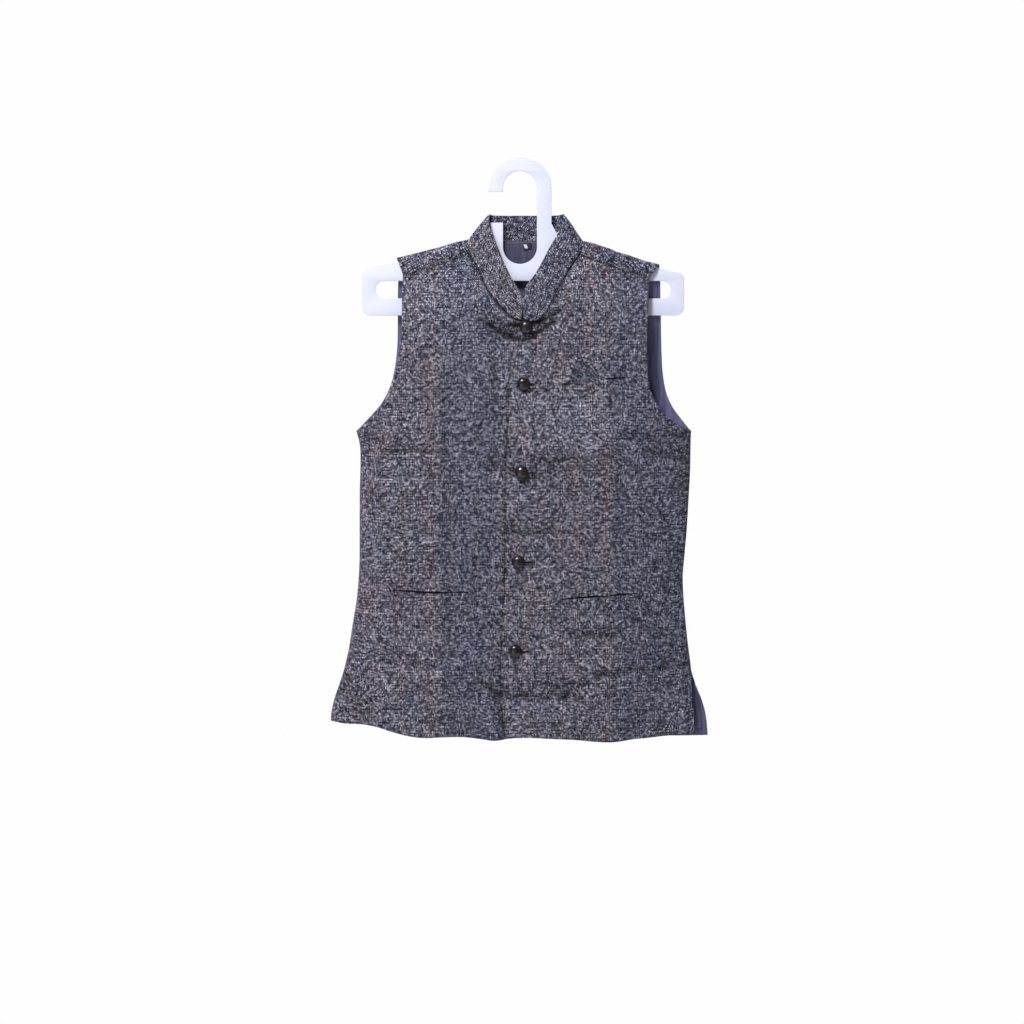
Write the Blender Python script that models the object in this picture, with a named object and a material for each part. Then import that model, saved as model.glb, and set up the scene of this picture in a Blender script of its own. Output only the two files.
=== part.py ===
"""Sleeveless band-collar jacket (nehru jacket), buttoned, hanging on a flat sheet hanger.

All lengths in the tables are millimetres. X runs across the jacket (the wearer's
right is -X), Z is up, the front faces -Y. The origin is the inner top of the
hanger's hook, where a rail or peg carries it, and the hanger's sheet lies in Y = 0.

The cloth is two soft walls, front and back, in front of and behind the hanger.
Their depth comes from two functions, depth_front and depth_back, which close to
nothing along the shoulder ridge and along the side seams. Every cut piece is a
patch of one of them, bounded by its own seams and edges.
"""

import math

import bpy
import numpy as np
from mathutils.geometry import tessellate_polygon

for old in list(bpy.data.objects):
    bpy.data.objects.remove(old, do_unlink=True)

MM = 0.001

# ---- driving sizes, mm -------------------------------------------------------
CLOTH = 1.6  # outer cloth with its fused interlining
LINING = 1.0
BAND = 2.6  # collar band, two layers and a stiffener
WELT = 1.5  # folded pocket welts
SEAM = 0.3  # clear gap between neighbouring pieces
LAP_LIFT = 2.9  # the left front lies this far in front of the right one
LAP_INNER, LAP_OUTER = 24.0, 40.0  # x between which that lift fades out
UNDERLAP_X = 22.0  # edge of the right front, under the left one
RIDGE_ROUND = 14.0  # drop over which the shoulder rounds off
SHOULDER_FRONT, SHOULDER_BACK = 9.0, 8.0  # depth just below the ridge
SHOULDER_RUN = 110.0  # drop over which the full depth is reached
SIDE_POWER = 3.0  # how squarely the body turns at its sides
VENT_TOP = -724.0
VENT_OPEN = 3.0  # half gap of the side vents at the hem

BUTTON_D, BUTTON_H = 19.5, 7.0
WELT_H = 12.0
TAB_W, TAB_H, TAB_T = 12.0, 8.0, 0.6

HANGER_T = 3.0
HANGER_STEM = 21.0  # width of the hook's walls
HOOK_R = 24.6  # half width of the hook slot
HOOK_DROP = 134.8  # hook slot, seat to bottom
BAR_H = 24.7  # lower bar
SLOT_TOP, SLOT_LOW = -159.5, -184.9
HANGER_LEFT, HANGER_RIGHT = -229.0, 238.0

# ---- outlines ----------------------------------------------------------------
# Upper outline: shoulder ridge, collar fold, and the open neck between them.
RIDGE = (  # x, z
    (-200.0, -132.5), (-177.8, -126.6), (-160.9, -122.4), (-136.3, -116.0),
    (-117.5, -111.6), (-104.4, -107.3), (-92.8, -103.8), (-81.2, -101.5),
    (-72.5, -99.3), (-66.7, -91.3), (-60.9, -82.1), (-52.8, -72.1),
    (-44.4, -64.5), (-21.8, -37.7), (8.7, -18.8), (40.6, -39.1), (62.6, -64.2),
    (68.1, -70.5), (75.4, -82.1), (82.6, -92.8), (89.9, -101.9),
    (104.4, -104.4), (116.0, -108.8), (128.6, -112.4), (139.2, -117.5),
    (155.2, -121.8), (177.6, -129.9), (201.5, -136.0), (222.0, -141.0),
)
# Outermost line of each side, underarm to hem.
SIDE_RIGHT = (  # z, x (wearer's right)
    (-377.0, -236.3), (-397.3, -231.5), (-421.9, -230.6), (-462.6, -231.6),
    (-520.5, -231.8), (-571.3, -232.2), (-593.0, -233.4), (-622.0, -236.3),
    (-658.3, -242.0), (-691.6, -247.2), (-720.6, -253.6), (-743.9, -260.6),
    (-765.6, -267.8), (-783.0, -272.2), (-800.0, -274.2),
)
SIDE_LEFT = (  # z, x (wearer's left)
    (-377.0, 247.2), (-404.6, 246.5), (-426.3, 246.2), (-477.1, 243.6),
    (-520.5, 241.0), (-561.1, 237.4), (-587.2, 235.2), (-607.5, 235.8),
    (-651.0, 239.2), (-687.3, 242.9), (-720.6, 247.0), (-746.8, 255.2),
    (-767.0, 263.4), (-787.4, 268.8), (-817.0, 272.0),
)
# Half depths of the hanging body by level.
DEPTHS = (  # z, front, back
    (0.0, 10.0, 9.0), (-70.0, 12.0, 10.0), (-120.0, 15.0, 10.5),
    (-200.0, 24.0, 12.0), (-300.0, 29.0, 14.0), (-377.0, 31.0, 15.0),
    (-470.0, 29.0, 14.0), (-560.0, 27.0, 13.0), (-660.0, 28.0, 14.0),
    (-740.0, 28.5, 15.5), (-830.0, 30.0, 17.0),
)
# Collar: one row for each section across the band, from the wearer's right end
# round the back to the left end. side is -1 in front, 1 behind, 0 on the fold.
COLLAR = (  # side, base_x, base_z, top_x, top_z
    (-1, 2.0, -216.6, 3.3, -183.6), (-1, -7.2, -214.4, -1.4, -174.0),
    (-1, -17.4, -207.3, -8.7, -163.0), (-1, -30.4, -193.6, -16.7, -148.5),
    (-1, -42.8, -177.6, -24.6, -131.5), (-1, -52.9, -159.5, -31.2, -115.5),
    (-1, -61.6, -140.7, -37.0, -100.5), (-1, -69.2, -125.8, -42.0, -86.5),
    (-1, -73.3, -118.6, -44.3, -79.5), (-1, -73.1, -110.0, -45.0, -72.0),
    (-1, -72.8, -103.5, -45.0, -67.4), (0, -72.5, -99.3, -44.4, -64.5),
    (1, -69.0, -99.2, -42.0, -64.3), (1, -62.0, -99.7, -36.5, -64.8),
    (1, -40.0, -100.3, -22.0, -65.2), (1, 10.0, -100.5, 8.0, -65.3),
    (1, 58.0, -100.8, 38.0, -65.2), (1, 79.0, -101.2, 54.5, -64.8),
    (1, 86.5, -101.5, 60.2, -64.2), (0, 89.9, -101.9, 62.6, -64.2),
    (-1, 89.3, -106.0, 63.2, -68.5), (-1, 88.0, -112.5, 62.0, -74.5),
    (-1, 86.6, -119.6, 60.0, -82.0), (-1, 81.6, -126.4, 53.2, -95.4),
    (-1, 72.5, -139.9, 44.0, -110.9), (-1, 61.6, -159.5, 35.5, -127.4),
    (-1, 50.8, -179.8, 27.6, -142.0), (-1, 40.6, -199.4, 19.6, -154.4),
    (-1, 30.4, -213.4, 12.0, -163.8), (-1, 19.6, -218.6, 7.0, -173.3),
    (-1, 6.0, -217.4, 4.9, -183.3),
)
NECK_RIGHT, NECK_RIDGE_R, NECK_RIDGE_L, NECK_LEFT = 8, 11, 19, 22  # row numbers
# Shoulder seams, neck to armhole, forward of the ridge.
SEAM_RIGHT = ((-73.3, -118.6), (-107.0, -132.1), (-140.2, -143.0), (-168.9, -151.1))
SEAM_LEFT = ((86.6, -119.6), (114.5, -131.2), (142.1, -140.9), (187.0, -154.4))
# Armhole edges of the fronts and of the back, shoulder to underarm.
ARM_FRONT_RIGHT = (  # x, z
    (-168.9, -151.1), (-170.4, -172.5), (-170.7, -201.5), (-171.1, -230.5),
    (-173.3, -256.6), (-177.6, -281.3), (-183.8, -303.1), (-194.3, -328.0),
    (-207.0, -346.5), (-221.1, -361.5), (-236.3, -377.0),
)
ARM_FRONT_LEFT = (  # x, z
    (187.0, -154.4), (186.3, -172.5), (184.4, -211.7), (183.3, -245.0),
    (183.4, -274.1), (185.4, -303.5), (190.6, -325.0), (200.4, -342.5),
    (214.6, -358.0), (230.5, -369.0), (247.2, -377.0),
)
ARM_BACK_RIGHT = (  # x, z
    (-177.8, -126.6), (-175.6, -140.7), (-176.3, -158.0), (-176.9, -187.0),
    (-176.9, -223.3), (-177.9, -256.6), (-180.6, -281.3), (-186.0, -306.0),
    (-195.8, -329.5), (-208.1, -346.2), (-221.8, -361.3), (-236.3, -377.0),
)
ARM_BACK_LEFT = (  # x, z
    (201.5, -136.0), (203.0, -150.8), (203.2, -172.5), (203.8, -201.5),
    (204.4, -237.8), (205.2, -268.0), (207.2, -297.2), (212.0, -321.5),
    (220.6, -341.5), (232.7, -358.5), (247.2, -377.0),
)
# Free front edge of the left front, neck to hem.
EDGE_LEFT = (  # x, z
    (-9.6, -219.5), (-10.4, -245.0), (-11.2, -263.9), (-14.5, -332.1),
    (-17.4, -390.1), (-19.6, -436.4), (-20.3, -506.1), (-20.3, -566.9),
    (-21.8, -636.5), (-26.0, -694.5), (-26.4, -745.3), (-23.6, -788.8),
    (-19.9, -821.0),
)
EDGE_RIGHT = ((UNDERLAP_X, -220.6), (UNDERLAP_X, -500.0), (UNDERLAP_X, -817.5))
# Side edges of the fronts below the vent tops, where they part from the back.
VENT_RIGHT = ((-724.0, 0.0), (-760.0, -1.2), (-800.0, -1.6))  # z, inset
VENT_LEFT = ((-724.0, 0.0), (-746.0, -6.5), (-767.0, -14.5), (-817.0, -20.2))
HEM_FRONT = (  # x, z
    (-274.0, -796.5), (-253.8, -800.2), (-232.0, -801.0), (-208.8, -804.8),
    (-185.6, -812.0), (-162.4, -817.8), (-139.2, -820.7), (-116.0, -819.8),
    (-81.2, -819.5), (-58.0, -822.1), (-34.8, -824.8), (-16.0, -821.5),
    (14.5, -820.7), (46.4, -822.1), (81.2, -823.6), (116.0, -826.5),
    (139.2, -826.3), (162.4, -822.6), (185.6, -820.5), (208.8, -817.8),
    (232.0, -816.4), (251.6, -814.6), (272.0, -814.0),
)
HEM_BACK = (  # x, z
    (-274.0, -796.0), (-220.0, -801.0), (-150.0, -814.0), (-60.0, -817.0),
    (0.0, -817.5), (90.0, -820.0), (180.0, -818.5), (225.0, -818.5),
    (272.0, -817.5),
)

# ---- folds: soft troughs (lift < 0) and ridges (lift > 0) of the fronts --------
FOLDS = (  # x0, z0, x1, z1, width, lift
    (0.0, -231.0, 22.0, -231.0, 24.0, -3.5),  # pulled in at the top button
    (12.0, -372.0, 118.0, -366.0, 50.0, 4.0),  # chest of the left front
    (-150.0, -330.0, -60.0, -345.0, 50.0, 2.0),  # chest of the right front
    (-30.0, -428.0, 40.0, -432.0, 24.0, -3.5),  # drawn in at the third button
    (-12.0, -484.0, 30.0, -486.0, 26.0, 2.0),
    (30.0, -704.0, 116.0, -708.0, 28.0, 2.6),  # roll above the swag of the hem
    (-24.0, -764.0, 70.0, -764.0, 24.0, -3.4),
    (-134.0, -830.0, -128.0, -735.0, 32.0, 4.0),  # flutes of the hem
    (126.0, -835.0, 122.0, -745.0, 34.0, 4.0),
    (212.0, -825.0, 206.0, -765.0, 26.0, -2.2),
    (-212.0, -815.0, -206.0, -755.0, 26.0, -2.4),
)
BACK_FOLDS = (  # x0, z0, x1, z1, width, lift
    (-120.0, -190.0, -105.0, -330.0, 44.0, 3.0),  # shoulder blades
    (128.0, -195.0, 112.0, -330.0, 44.0, 3.0),
    (-150.0, -825.0, -142.0, -690.0, 34.0, 4.0),  # flutes of the hem
    (-40.0, -825.0, -44.0, -700.0, 32.0, 3.0),
    (76.0, -825.0, 72.0, -690.0, 34.0, 3.6),
    (178.0, -825.0, 170.0, -700.0, 32.0, 3.6),
)

BUTTONS = ((8.7, -227.7), (5.1, -310.0), (1.9, -437.6), (-2.2, -566.9), (-6.5, -696.0))
# Pocket mouths: left end, middle, right end of each welt's upper edge.
POCKETS = (  # node, x0, z0, x1, z1, x2, z2
    ("welt_breast", 62.4, -311.8, 112.0, -305.6, 160.9, -300.9),
    ("welt_right", -184.2, -608.5, -130.5, -613.0, -74.0, -611.9),
    ("welt_left", 59.4, -622.0, 112.0, -618.6, 168.2, -613.4),
)
SQUARE = ((68.0, -309.4), (83.4, -270.6), (112.0, -294.0), (124.0, -303.2))
TAB = (10.2, -108.9)


# ---- smooth lines through the tables -------------------------------------------
def smooth(knots, values, where):
    """Smooth line through values at knots, read at where."""
    knots, values = np.asarray(knots, float), np.asarray(values, float)
    step = np.diff(knots)
    slope = np.diff(values) / step
    tangent = np.empty_like(values)
    tangent[1:-1] = (slope[:-1] * step[1:] + slope[1:] * step[:-1]) / (step[:-1] + step[1:])
    tangent[0], tangent[-1] = slope[0], slope[-1]
    where = np.clip(where, knots[0], knots[-1])
    i = np.clip(np.searchsorted(knots, where, side="right") - 1, 0, len(step) - 1)
    s = (where - knots[i]) / step[i]
    return (
        (1 + 2 * s) * (1 - s) ** 2 * values[i]
        + s * (1 - s) ** 2 * step[i] * tangent[i]
        + s * s * (3 - 2 * s) * values[i + 1]
        + s * s * (s - 1) * step[i] * tangent[i + 1]
    )


def table(rows, key, column, where):
    """Column of a table read at where, its key column in any order."""
    rows = sorted(rows, key=lambda row: row[key])
    return smooth([row[key] for row in rows], [row[column] for row in rows], where)


def along(points, where):
    """(x, z) along a line of points at fractions 0 to 1 of its length."""
    points = np.asarray(points, float)
    length = np.concatenate([[0.0], np.cumsum(np.hypot(*np.diff(points, axis=0).T))])
    length /= length[-1]
    return np.stack([smooth(length, points[:, k], where) for k in (0, 1)], -1)


def ease(value):
    value = np.clip(value, 0.0, 1.0)
    return value * value * (3 - 2 * value)


# ---- the two hanging surfaces ----------------------------------------------------
def fold_lift(folds, x, z):
    total = np.zeros(np.broadcast(x, z).shape)
    for x0, z0, x1, z1, width, lift in folds:
        run = (x1 - x0) ** 2 + (z1 - z0) ** 2
        t = np.clip(((x - x0) * (x1 - x0) + (z - z0) * (z1 - z0)) / run, 0, 1)
        away = np.hypot(x - x0 - t * (x1 - x0), z - z0 - t * (z1 - z0))
        total += lift * np.exp(-((away / width) ** 2))
    return total


def side_reach(x, z):
    """1 along the middle of the body, 0 on its sides."""
    low = np.minimum(z, -377.0)
    right, left = table(SIDE_RIGHT, 0, 1, low), table(SIDE_LEFT, 0, 1, low)
    across = np.abs(2 * x - right - left) / (left - right)
    return np.sqrt(1 - np.clip(across, 0, 1) ** SIDE_POWER)


def ridge_reach(x, z):
    """0 on the shoulder ridge, 1 once the cloth hangs free of it, and the drop."""
    drop = np.maximum(table(RIDGE, 0, 1, x) - z, 0.0)
    return np.sqrt(1 - (1 - np.clip(drop / RIDGE_ROUND, 0, 1)) ** 2), drop


def depth(x, z, shoulder, column, folds):
    reach, drop = ridge_reach(x, z)
    side = side_reach(x, z)
    full = shoulder + (table(DEPTHS, 0, column, z) - shoulder) * ease(drop / SHOULDER_RUN)
    calm = ease(side / 0.45) * ease((drop - 25.0) / 40.0)
    return side * reach * full + calm * fold_lift(folds, x, z)


def depth_front(x, z):
    return depth(x, z, SHOULDER_FRONT, 1, FOLDS)


def depth_back(x, z):
    return depth(x, z, SHOULDER_BACK, 2, BACK_FOLDS)


def lap_lift(x):
    return LAP_LIFT * (1 - ease((x - LAP_INNER) / (LAP_OUTER - LAP_INNER)))


def vent_gap(z):
    return SEAM / 2 + VENT_OPEN * ease((VENT_TOP - z) / 80.0)


# ---- patches ---------------------------------------------------------------------
def join(first, second, where, knot):
    """Points along first up to knot, then along second."""
    inside = along(first, np.clip(where / knot, 0, 1))
    after = along(second, np.clip((where - knot) / (1 - knot), 0, 1))
    return np.where((where <= knot)[..., None], inside, after)


def side_line(side, vent=None):
    return [(x + (smooth([r[0] for r in vent][::-1], [r[1] for r in vent][::-1], z) if vent else 0.0), z) for z, x in side]


NECK_KNOT, ARM_KNOT = 0.18, 0.37


def front_patch(u, v, right):
    """(x, z) of a front at u, front edge to side, and v, shoulder seam to hem."""
    if right:
        stations = COLLAR[: NECK_RIGHT + 1][::-1]
        arm, edge = ARM_FRONT_RIGHT, EDGE_RIGHT
        side = side_line(SIDE_RIGHT, [(z, -inset) for z, inset in VENT_RIGHT])
    else:
        stations = COLLAR[NECK_LEFT:]
        arm, edge = ARM_FRONT_LEFT, EDGE_LEFT
        side = side_line(SIDE_LEFT, VENT_LEFT)
    neck = []
    for _, bx, bz, tx, tz in stations:
        size = math.hypot(bx - tx, bz - tz)
        neck.append((bx + (bx - tx) / size * 2 * SEAM, bz + (bz - tz) / size * 2 * SEAM))
    inner, outer = join(neck, edge, v, NECK_KNOT), join(arm, side, v, ARM_KNOT)
    turn = ease((v - 0.2) / 0.17)
    c = u + (np.sin(u * math.pi / 2) - u) * turn
    x = inner[..., 0] + (outer[..., 0] - inner[..., 0]) * c
    z = inner[..., 1] + (outer[..., 1] - inner[..., 1]) * c
    foot = edge[-1][1] + (side[-1][1] - edge[-1][1]) * c
    z = z + (table(HEM_FRONT, 0, 1, x) - foot) * ease((v - 0.7) / 0.3)
    seam = along(SEAM_RIGHT if right else SEAM_LEFT, u) - (0.0, SEAM)
    lean = 1 - ease(v / 0.05)
    straight = along([neck[0], arm[0]], u)
    return x + (seam[..., 0] - straight[..., 0]) * lean, z + (seam[..., 1] - straight[..., 1]) * lean


def front_points(u, v, right):
    x, z = front_patch(u, v, right)
    y = -np.maximum(depth_front(x, z) + (0.0 if right else lap_lift(x)), 0.0)
    y = np.minimum(y, -np.where(z < -370, vent_gap(z), 0.0))
    return np.stack([x, y, z], -1)


def back_top(u):
    """Top line of the back: ridge, back neck, ridge."""
    tip_r, tip_l = ARM_BACK_RIGHT[0], ARM_BACK_LEFT[0]
    rows = [tip_r] + [p for p in RIDGE if tip_r[0] < p[0] < COLLAR[NECK_RIDGE_R][1]]
    rows += [(row[1], row[2]) for row in COLLAR[NECK_RIDGE_R : NECK_RIDGE_L + 1]]
    rows += [p for p in RIDGE if COLLAR[NECK_RIDGE_L][1] < p[0] < tip_l[0]] + [tip_l]
    x = tip_r[0] + (tip_l[0] - tip_r[0]) * u
    inside = (x > COLLAR[NECK_RIDGE_R][1]) & (x < COLLAR[NECK_RIDGE_L][1])
    return x, np.interp(x, [p[0] for p in rows], [p[1] for p in rows]) - np.where(inside, 2 * SEAM, 0.0)


def back_patch(u, v):
    """(x, z) of the back at u, wearer's right to left, and v, top line to hem."""
    right = join(ARM_BACK_RIGHT, side_line(SIDE_RIGHT), v, ARM_KNOT)
    left = join(ARM_BACK_LEFT, side_line(SIDE_LEFT), v, ARM_KNOT)
    turn = ease((v - 0.15) / 0.2)
    c = u + ((1 - np.cos(u * math.pi)) / 2 - u) * turn
    x = right[..., 0] + (left[..., 0] - right[..., 0]) * c
    z = right[..., 1] + (left[..., 1] - right[..., 1]) * c
    top_z = back_top(u)[1]
    level = ARM_BACK_RIGHT[0][1] + (ARM_BACK_LEFT[0][1] - ARM_BACK_RIGHT[0][1]) * u
    z = z + (top_z - level) * np.clip(1 - v / 0.34, 0, 1) ** 1.5
    foot = SIDE_RIGHT[-1][0] + (SIDE_LEFT[-1][0] - SIDE_RIGHT[-1][0]) * c
    return x, z + (table(HEM_BACK, 0, 1, x) - foot) * ease((v - 0.7) / 0.3)


def back_points(u, v):
    x, z = back_patch(u, v)
    y = depth_back(x, z)
    y = np.maximum(y, np.where(z < -370, vent_gap(z), 0.0))
    return np.stack([x, y, z], -1)


# ---- solids ------------------------------------------------------------------------
def material(name, colour, rough):
    made = bpy.data.materials.new(name)
    made.use_nodes = True
    shader = made.node_tree.nodes["Principled BSDF"]
    shader.inputs["Base Color"].default_value = (*colour, 1.0)
    shader.inputs["Roughness"].default_value = rough
    shader.inputs["Metallic"].default_value = 0.0
    made.diffuse_color = (*colour, 1.0)
    return made


def solid(name, points, faces, colour, rough, soft=True):
    mesh = bpy.data.meshes.new(name)
    mesh.from_pydata([tuple(p) for p in np.asarray(points) * MM], [], [tuple(map(int, f)) for f in faces])
    mesh.update()
    made = bpy.data.objects.new(name, mesh)
    bpy.context.scene.collection.objects.link(made)
    mesh.materials.append(material(name, colour, rough))
    mesh.shade_smooth()
    mesh.set_sharp_from_angle(angle=math.radians(35 if soft else 25))
    return made


def face_normals(points, faces):
    total = np.zeros_like(points)
    for face in faces:
        ring = points[list(face)]
        normal = sum(np.cross(ring[k], ring[(k + 1) % len(ring)]) for k in range(len(ring)))
        total[list(face)] += normal / (np.linalg.norm(normal) + 1e-12)
    return total / (np.linalg.norm(total, axis=1)[:, None] + 1e-12)


def grid_faces(rows, columns, start=0):
    faces = []
    for i in range(rows - 1):
        for j in range(columns - 1):
            a = start + i * columns + j
            faces.append((a, a + 1, a + columns + 1, a + columns))
    return faces


def wall(points, faces, thick, outward, shift=0.0, fixed=None):
    """Closed wall of an open surface: its points moved out and in by half of thick."""
    normals = face_normals(points, faces)
    if (normals @ np.asarray(outward, float)).mean() < 0:
        faces, normals = [face[::-1] for face in faces], -normals
    if fixed is not None:
        where, value = fixed
        normals[where] = value
    points = points + normals * shift
    count = len(points)
    both = np.concatenate([points + normals * thick / 2, points - normals * thick / 2])
    all_faces = list(faces) + [tuple(k + count for k in face[::-1]) for face in faces]
    edges = {(face[k], face[(k + 1) % len(face)]) for face in faces for k in range(len(face))}
    for a, b in edges:
        if (b, a) not in edges:
            all_faces.append((b, a, a + count, b + count))
    return both, sorted(all_faces)


WOOL, NAVY, WHITE = (0.115, 0.118, 0.14), (0.03, 0.028, 0.05), (0.80, 0.81, 0.85)


def spread(first, rest):
    """Fractions: those of first, then even steps up to 1."""
    return np.concatenate([first, np.linspace(first[-1], 1.0, rest + 1)[1:]])


def build_front(name, right, rows, columns):
    v = np.concatenate([np.linspace(0, NECK_KNOT, 9), np.linspace(NECK_KNOT, ARM_KNOT, 7)[1:], np.linspace(ARM_KNOT, 1, rows)[1:]])
    u = np.concatenate([[0.0, 0.04, 0.08, 0.12], np.linspace(0.19, 1, columns)])  # close columns across the lap
    vv, uu = np.meshgrid(v, u, indexing="ij")
    points = front_points(uu, vv, right)
    side = (vv >= ARM_KNOT - 1e-9) & (uu > 0.999) & (points[..., 2] > VENT_TOP)
    flat = points.reshape(-1, 3)
    fixed = (np.flatnonzero(side.ravel()), (-1.0 if right else 1.0, 0.0, 0.0))
    made = wall(flat, grid_faces(len(v), len(u)), CLOTH, (0, -1, 0), 0.0, fixed)
    return solid(name, *made, WOOL, 0.85)


def back_rows(count):
    drops = np.array([0.0, 1.2, 4.5, 9.5, 17.0]) / 735.0
    return spread(drops, count)


def build_back(columns, rows):
    span = ARM_BACK_LEFT[0][0] - ARM_BACK_RIGHT[0][0]
    neck_r = (COLLAR[NECK_RIDGE_R][1] - ARM_BACK_RIGHT[0][0]) / span
    neck_l = (COLLAR[NECK_RIDGE_L][1] - ARM_BACK_RIGHT[0][0]) / span
    base = [(row[1] - ARM_BACK_RIGHT[0][0]) / span for row in COLLAR[NECK_RIDGE_R : NECK_RIDGE_L + 1]]
    u = np.concatenate([np.linspace(0, neck_r, columns)[:-1], base, np.linspace(neck_l, 1, columns)[1:]])
    extra = np.diff(u) > 0.075
    u = np.sort(np.concatenate([u, (u[:-1] + u[1:])[extra] / 2]))
    v = back_rows(rows)
    vv, uu = np.meshgrid(v, u, indexing="ij")
    points = back_points(uu, vv)
    ridge = (vv == 0) & ((uu <= neck_r + 1e-9) | (uu >= neck_l - 1e-9))
    points[ridge, 1] = 0.0
    side_r = (vv >= ARM_KNOT - 1e-3) & (uu < 1e-6) & (points[..., 2] > VENT_TOP)
    side_l = (vv >= ARM_KNOT - 1e-3) & (uu > 1 - 1e-6) & (points[..., 2] > VENT_TOP)
    flat = [points.reshape(-1, 3)]
    faces = grid_faces(len(v), len(u))
    fixed_where = np.flatnonzero((side_r | side_l).ravel())
    fixed_value = np.where(side_r.ravel()[fixed_where][:, None], (-1.0, 0.0, 0.0), (1.0, 0.0, 0.0))
    count = len(v) * len(u)
    # The flaps that come forward over the shoulders, row by row from the ridge.
    for shoulder, seam, right in (
        (np.flatnonzero(u <= neck_r + 1e-9), SEAM_RIGHT, True),
        (np.flatnonzero(u >= neck_l - 1e-9), SEAM_LEFT, False),
    ):
        part = np.linspace(1, 0, len(shoulder)) if right else np.linspace(0, 1, len(shoulder))
        low = along(seam, part) + (0.0, SEAM)
        high = points[0, shoulder][:, [0, 2]]
        neck_end = -1 if right else 0
        size = np.array([-2 * SEAM if right else 2 * SEAM, 0.0])
        above = list(shoulder)
        for step in (0.06, 0.22, 0.5, 1.0):
            xz = high + (low - high) * step
            xz[neck_end] += size * (1.0 if step < 1 else 0.5)
            y = -np.maximum(depth_front(xz[:, 0], xz[:, 1]), 0.3)
            flat.append(np.stack([xz[:, 0], y, xz[:, 1]], -1))
            below = list(range(count, count + len(shoulder)))
            for k in range(len(shoulder) - 1):
                faces.append((above[k], above[k + 1], below[k + 1], below[k]))
            above, count = below, count + len(shoulder)
    flat = np.concatenate(flat)
    faces = consistent(flat, faces, (len(v) - 1) * (len(u) - 1))
    made = wall(flat, faces, CLOTH, (0, 1, 0), 0.0, (fixed_where, fixed_value))
    return solid("back", *made, WOOL, 0.85)


def consistent(points, faces, main):
    """Turns the main faces to look back and the flap faces to look forward."""
    turned = []
    for number, face in enumerate(faces):
        ring = points[list(face)]
        normal = sum(np.cross(ring[k], ring[(k + 1) % len(ring)]) for k in range(len(ring)))
        wanted = normal[1] > 0 if number < main else normal[1] < 0
        turned.append(face if wanted else face[::-1])
    return turned


def build_lining(columns, rows):
    """Lining of the back: hangs smooth, a little clear of the wall it is sewn to."""
    t, w = np.linspace(0, 1, columns), np.linspace(0, 1, rows)
    ww, tt = np.meshgrid(w, t, indexing="ij")
    rough_u = 0.05 + 0.9 * tt
    top_x = back_top(rough_u)[0]
    inside = ease((top_x - COLLAR[NECK_RIDGE_R][1]) / 14.0) * ease((COLLAR[NECK_RIDGE_L][1] - top_x) / 14.0)
    start = 0.027 - 0.0255 * inside
    vv = start + (0.985 - start) * (0.35 * ww**2 + 0.65 * ww)
    inset = 0.012 + 0.062 * ease((vv - 0.15) / 0.2)
    x, z = back_patch(inset + (1 - 2 * inset) * tt, vv)
    points = np.stack([x, depth(x, z, SHOULDER_BACK, 2, ()), z], -1).reshape(-1, 3)
    made = wall(points, grid_faces(rows, columns), LINING, (0, 1, 0), -(CLOTH / 2 + SEAM + 0.8 + LINING / 2))
    return solid("lining_back", *made, NAVY, 0.5)


def collar_lines(where):
    """Base and top lines of the band at fractional row numbers."""
    rows = np.arange(len(COLLAR), dtype=float)
    sides = np.array([row[0] for row in COLLAR], float)
    values = [smooth(rows, [row[k] for row in COLLAR], where) for k in (1, 2, 3, 4)]
    side = np.where((where > NECK_RIDGE_R) & (where < NECK_RIDGE_L), 1.0, -1.0)
    return side, values


def collar_points(where, across):
    side, (bx, bz, tx, tz) = collar_lines(where)
    x = bx + (tx - bx) * across
    z = bz + (tz - bz) * across
    y = np.where(side > 0, depth_back(x, z), -depth_front(x, z))
    ridge = (np.abs(where - NECK_RIDGE_R) < 1e-6) | (np.abs(where - NECK_RIDGE_L) < 1e-6)
    y = np.where(ridge, 0.0, y)
    return np.stack([x, y, z], -1)


def build_collar():
    where = np.concatenate([np.linspace(0, 8, 13), [9, 10, 11, 12, 13, 14, 14.5, 15, 15.5, 16, 17, 18, 19, 20, 21], np.linspace(22, 30, 13)])
    across = np.array([0.024, 0.35, 0.7, 0.93, 1.0])
    ww, aa = np.meshgrid(where, across, indexing="ij")
    points = collar_points(ww, aa).reshape(-1, 3)
    faces = grid_faces(len(where), len(across))
    middle = np.array([8.0, 0.0])
    out = points[:, :2] - middle
    normals = face_normals(points, faces)
    if (np.einsum("ij,ij->i", normals[:, :2], out)).mean() < 0:
        faces = [face[::-1] for face in faces]
        normals = -normals
    made = wall(points, faces, BAND, normals.mean(0) if normals.mean(0)[1] < 0 else -normals.mean(0), 0.4)
    return solid("collar", *made, WOOL, 0.85)


def on_front(x, z, out, right):
    """Points lying out from the mid wall of a front, along its own slope."""
    x, z = np.asarray(x, float), np.asarray(z, float)
    e = 1.0

    def y_of(px, pz):
        return -(depth_front(px, pz) + (0.0 if right else lap_lift(px)))

    slope_x = (y_of(x + e, z) - y_of(x - e, z)) / (2 * e)
    slope_z = (y_of(x, z + e) - y_of(x, z - e)) / (2 * e)
    normal = np.stack([slope_x, -np.ones_like(slope_x), slope_z], -1)
    normal /= np.linalg.norm(normal, axis=-1)[..., None]
    return np.stack([x, y_of(x, z), z], -1) + normal * out


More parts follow.
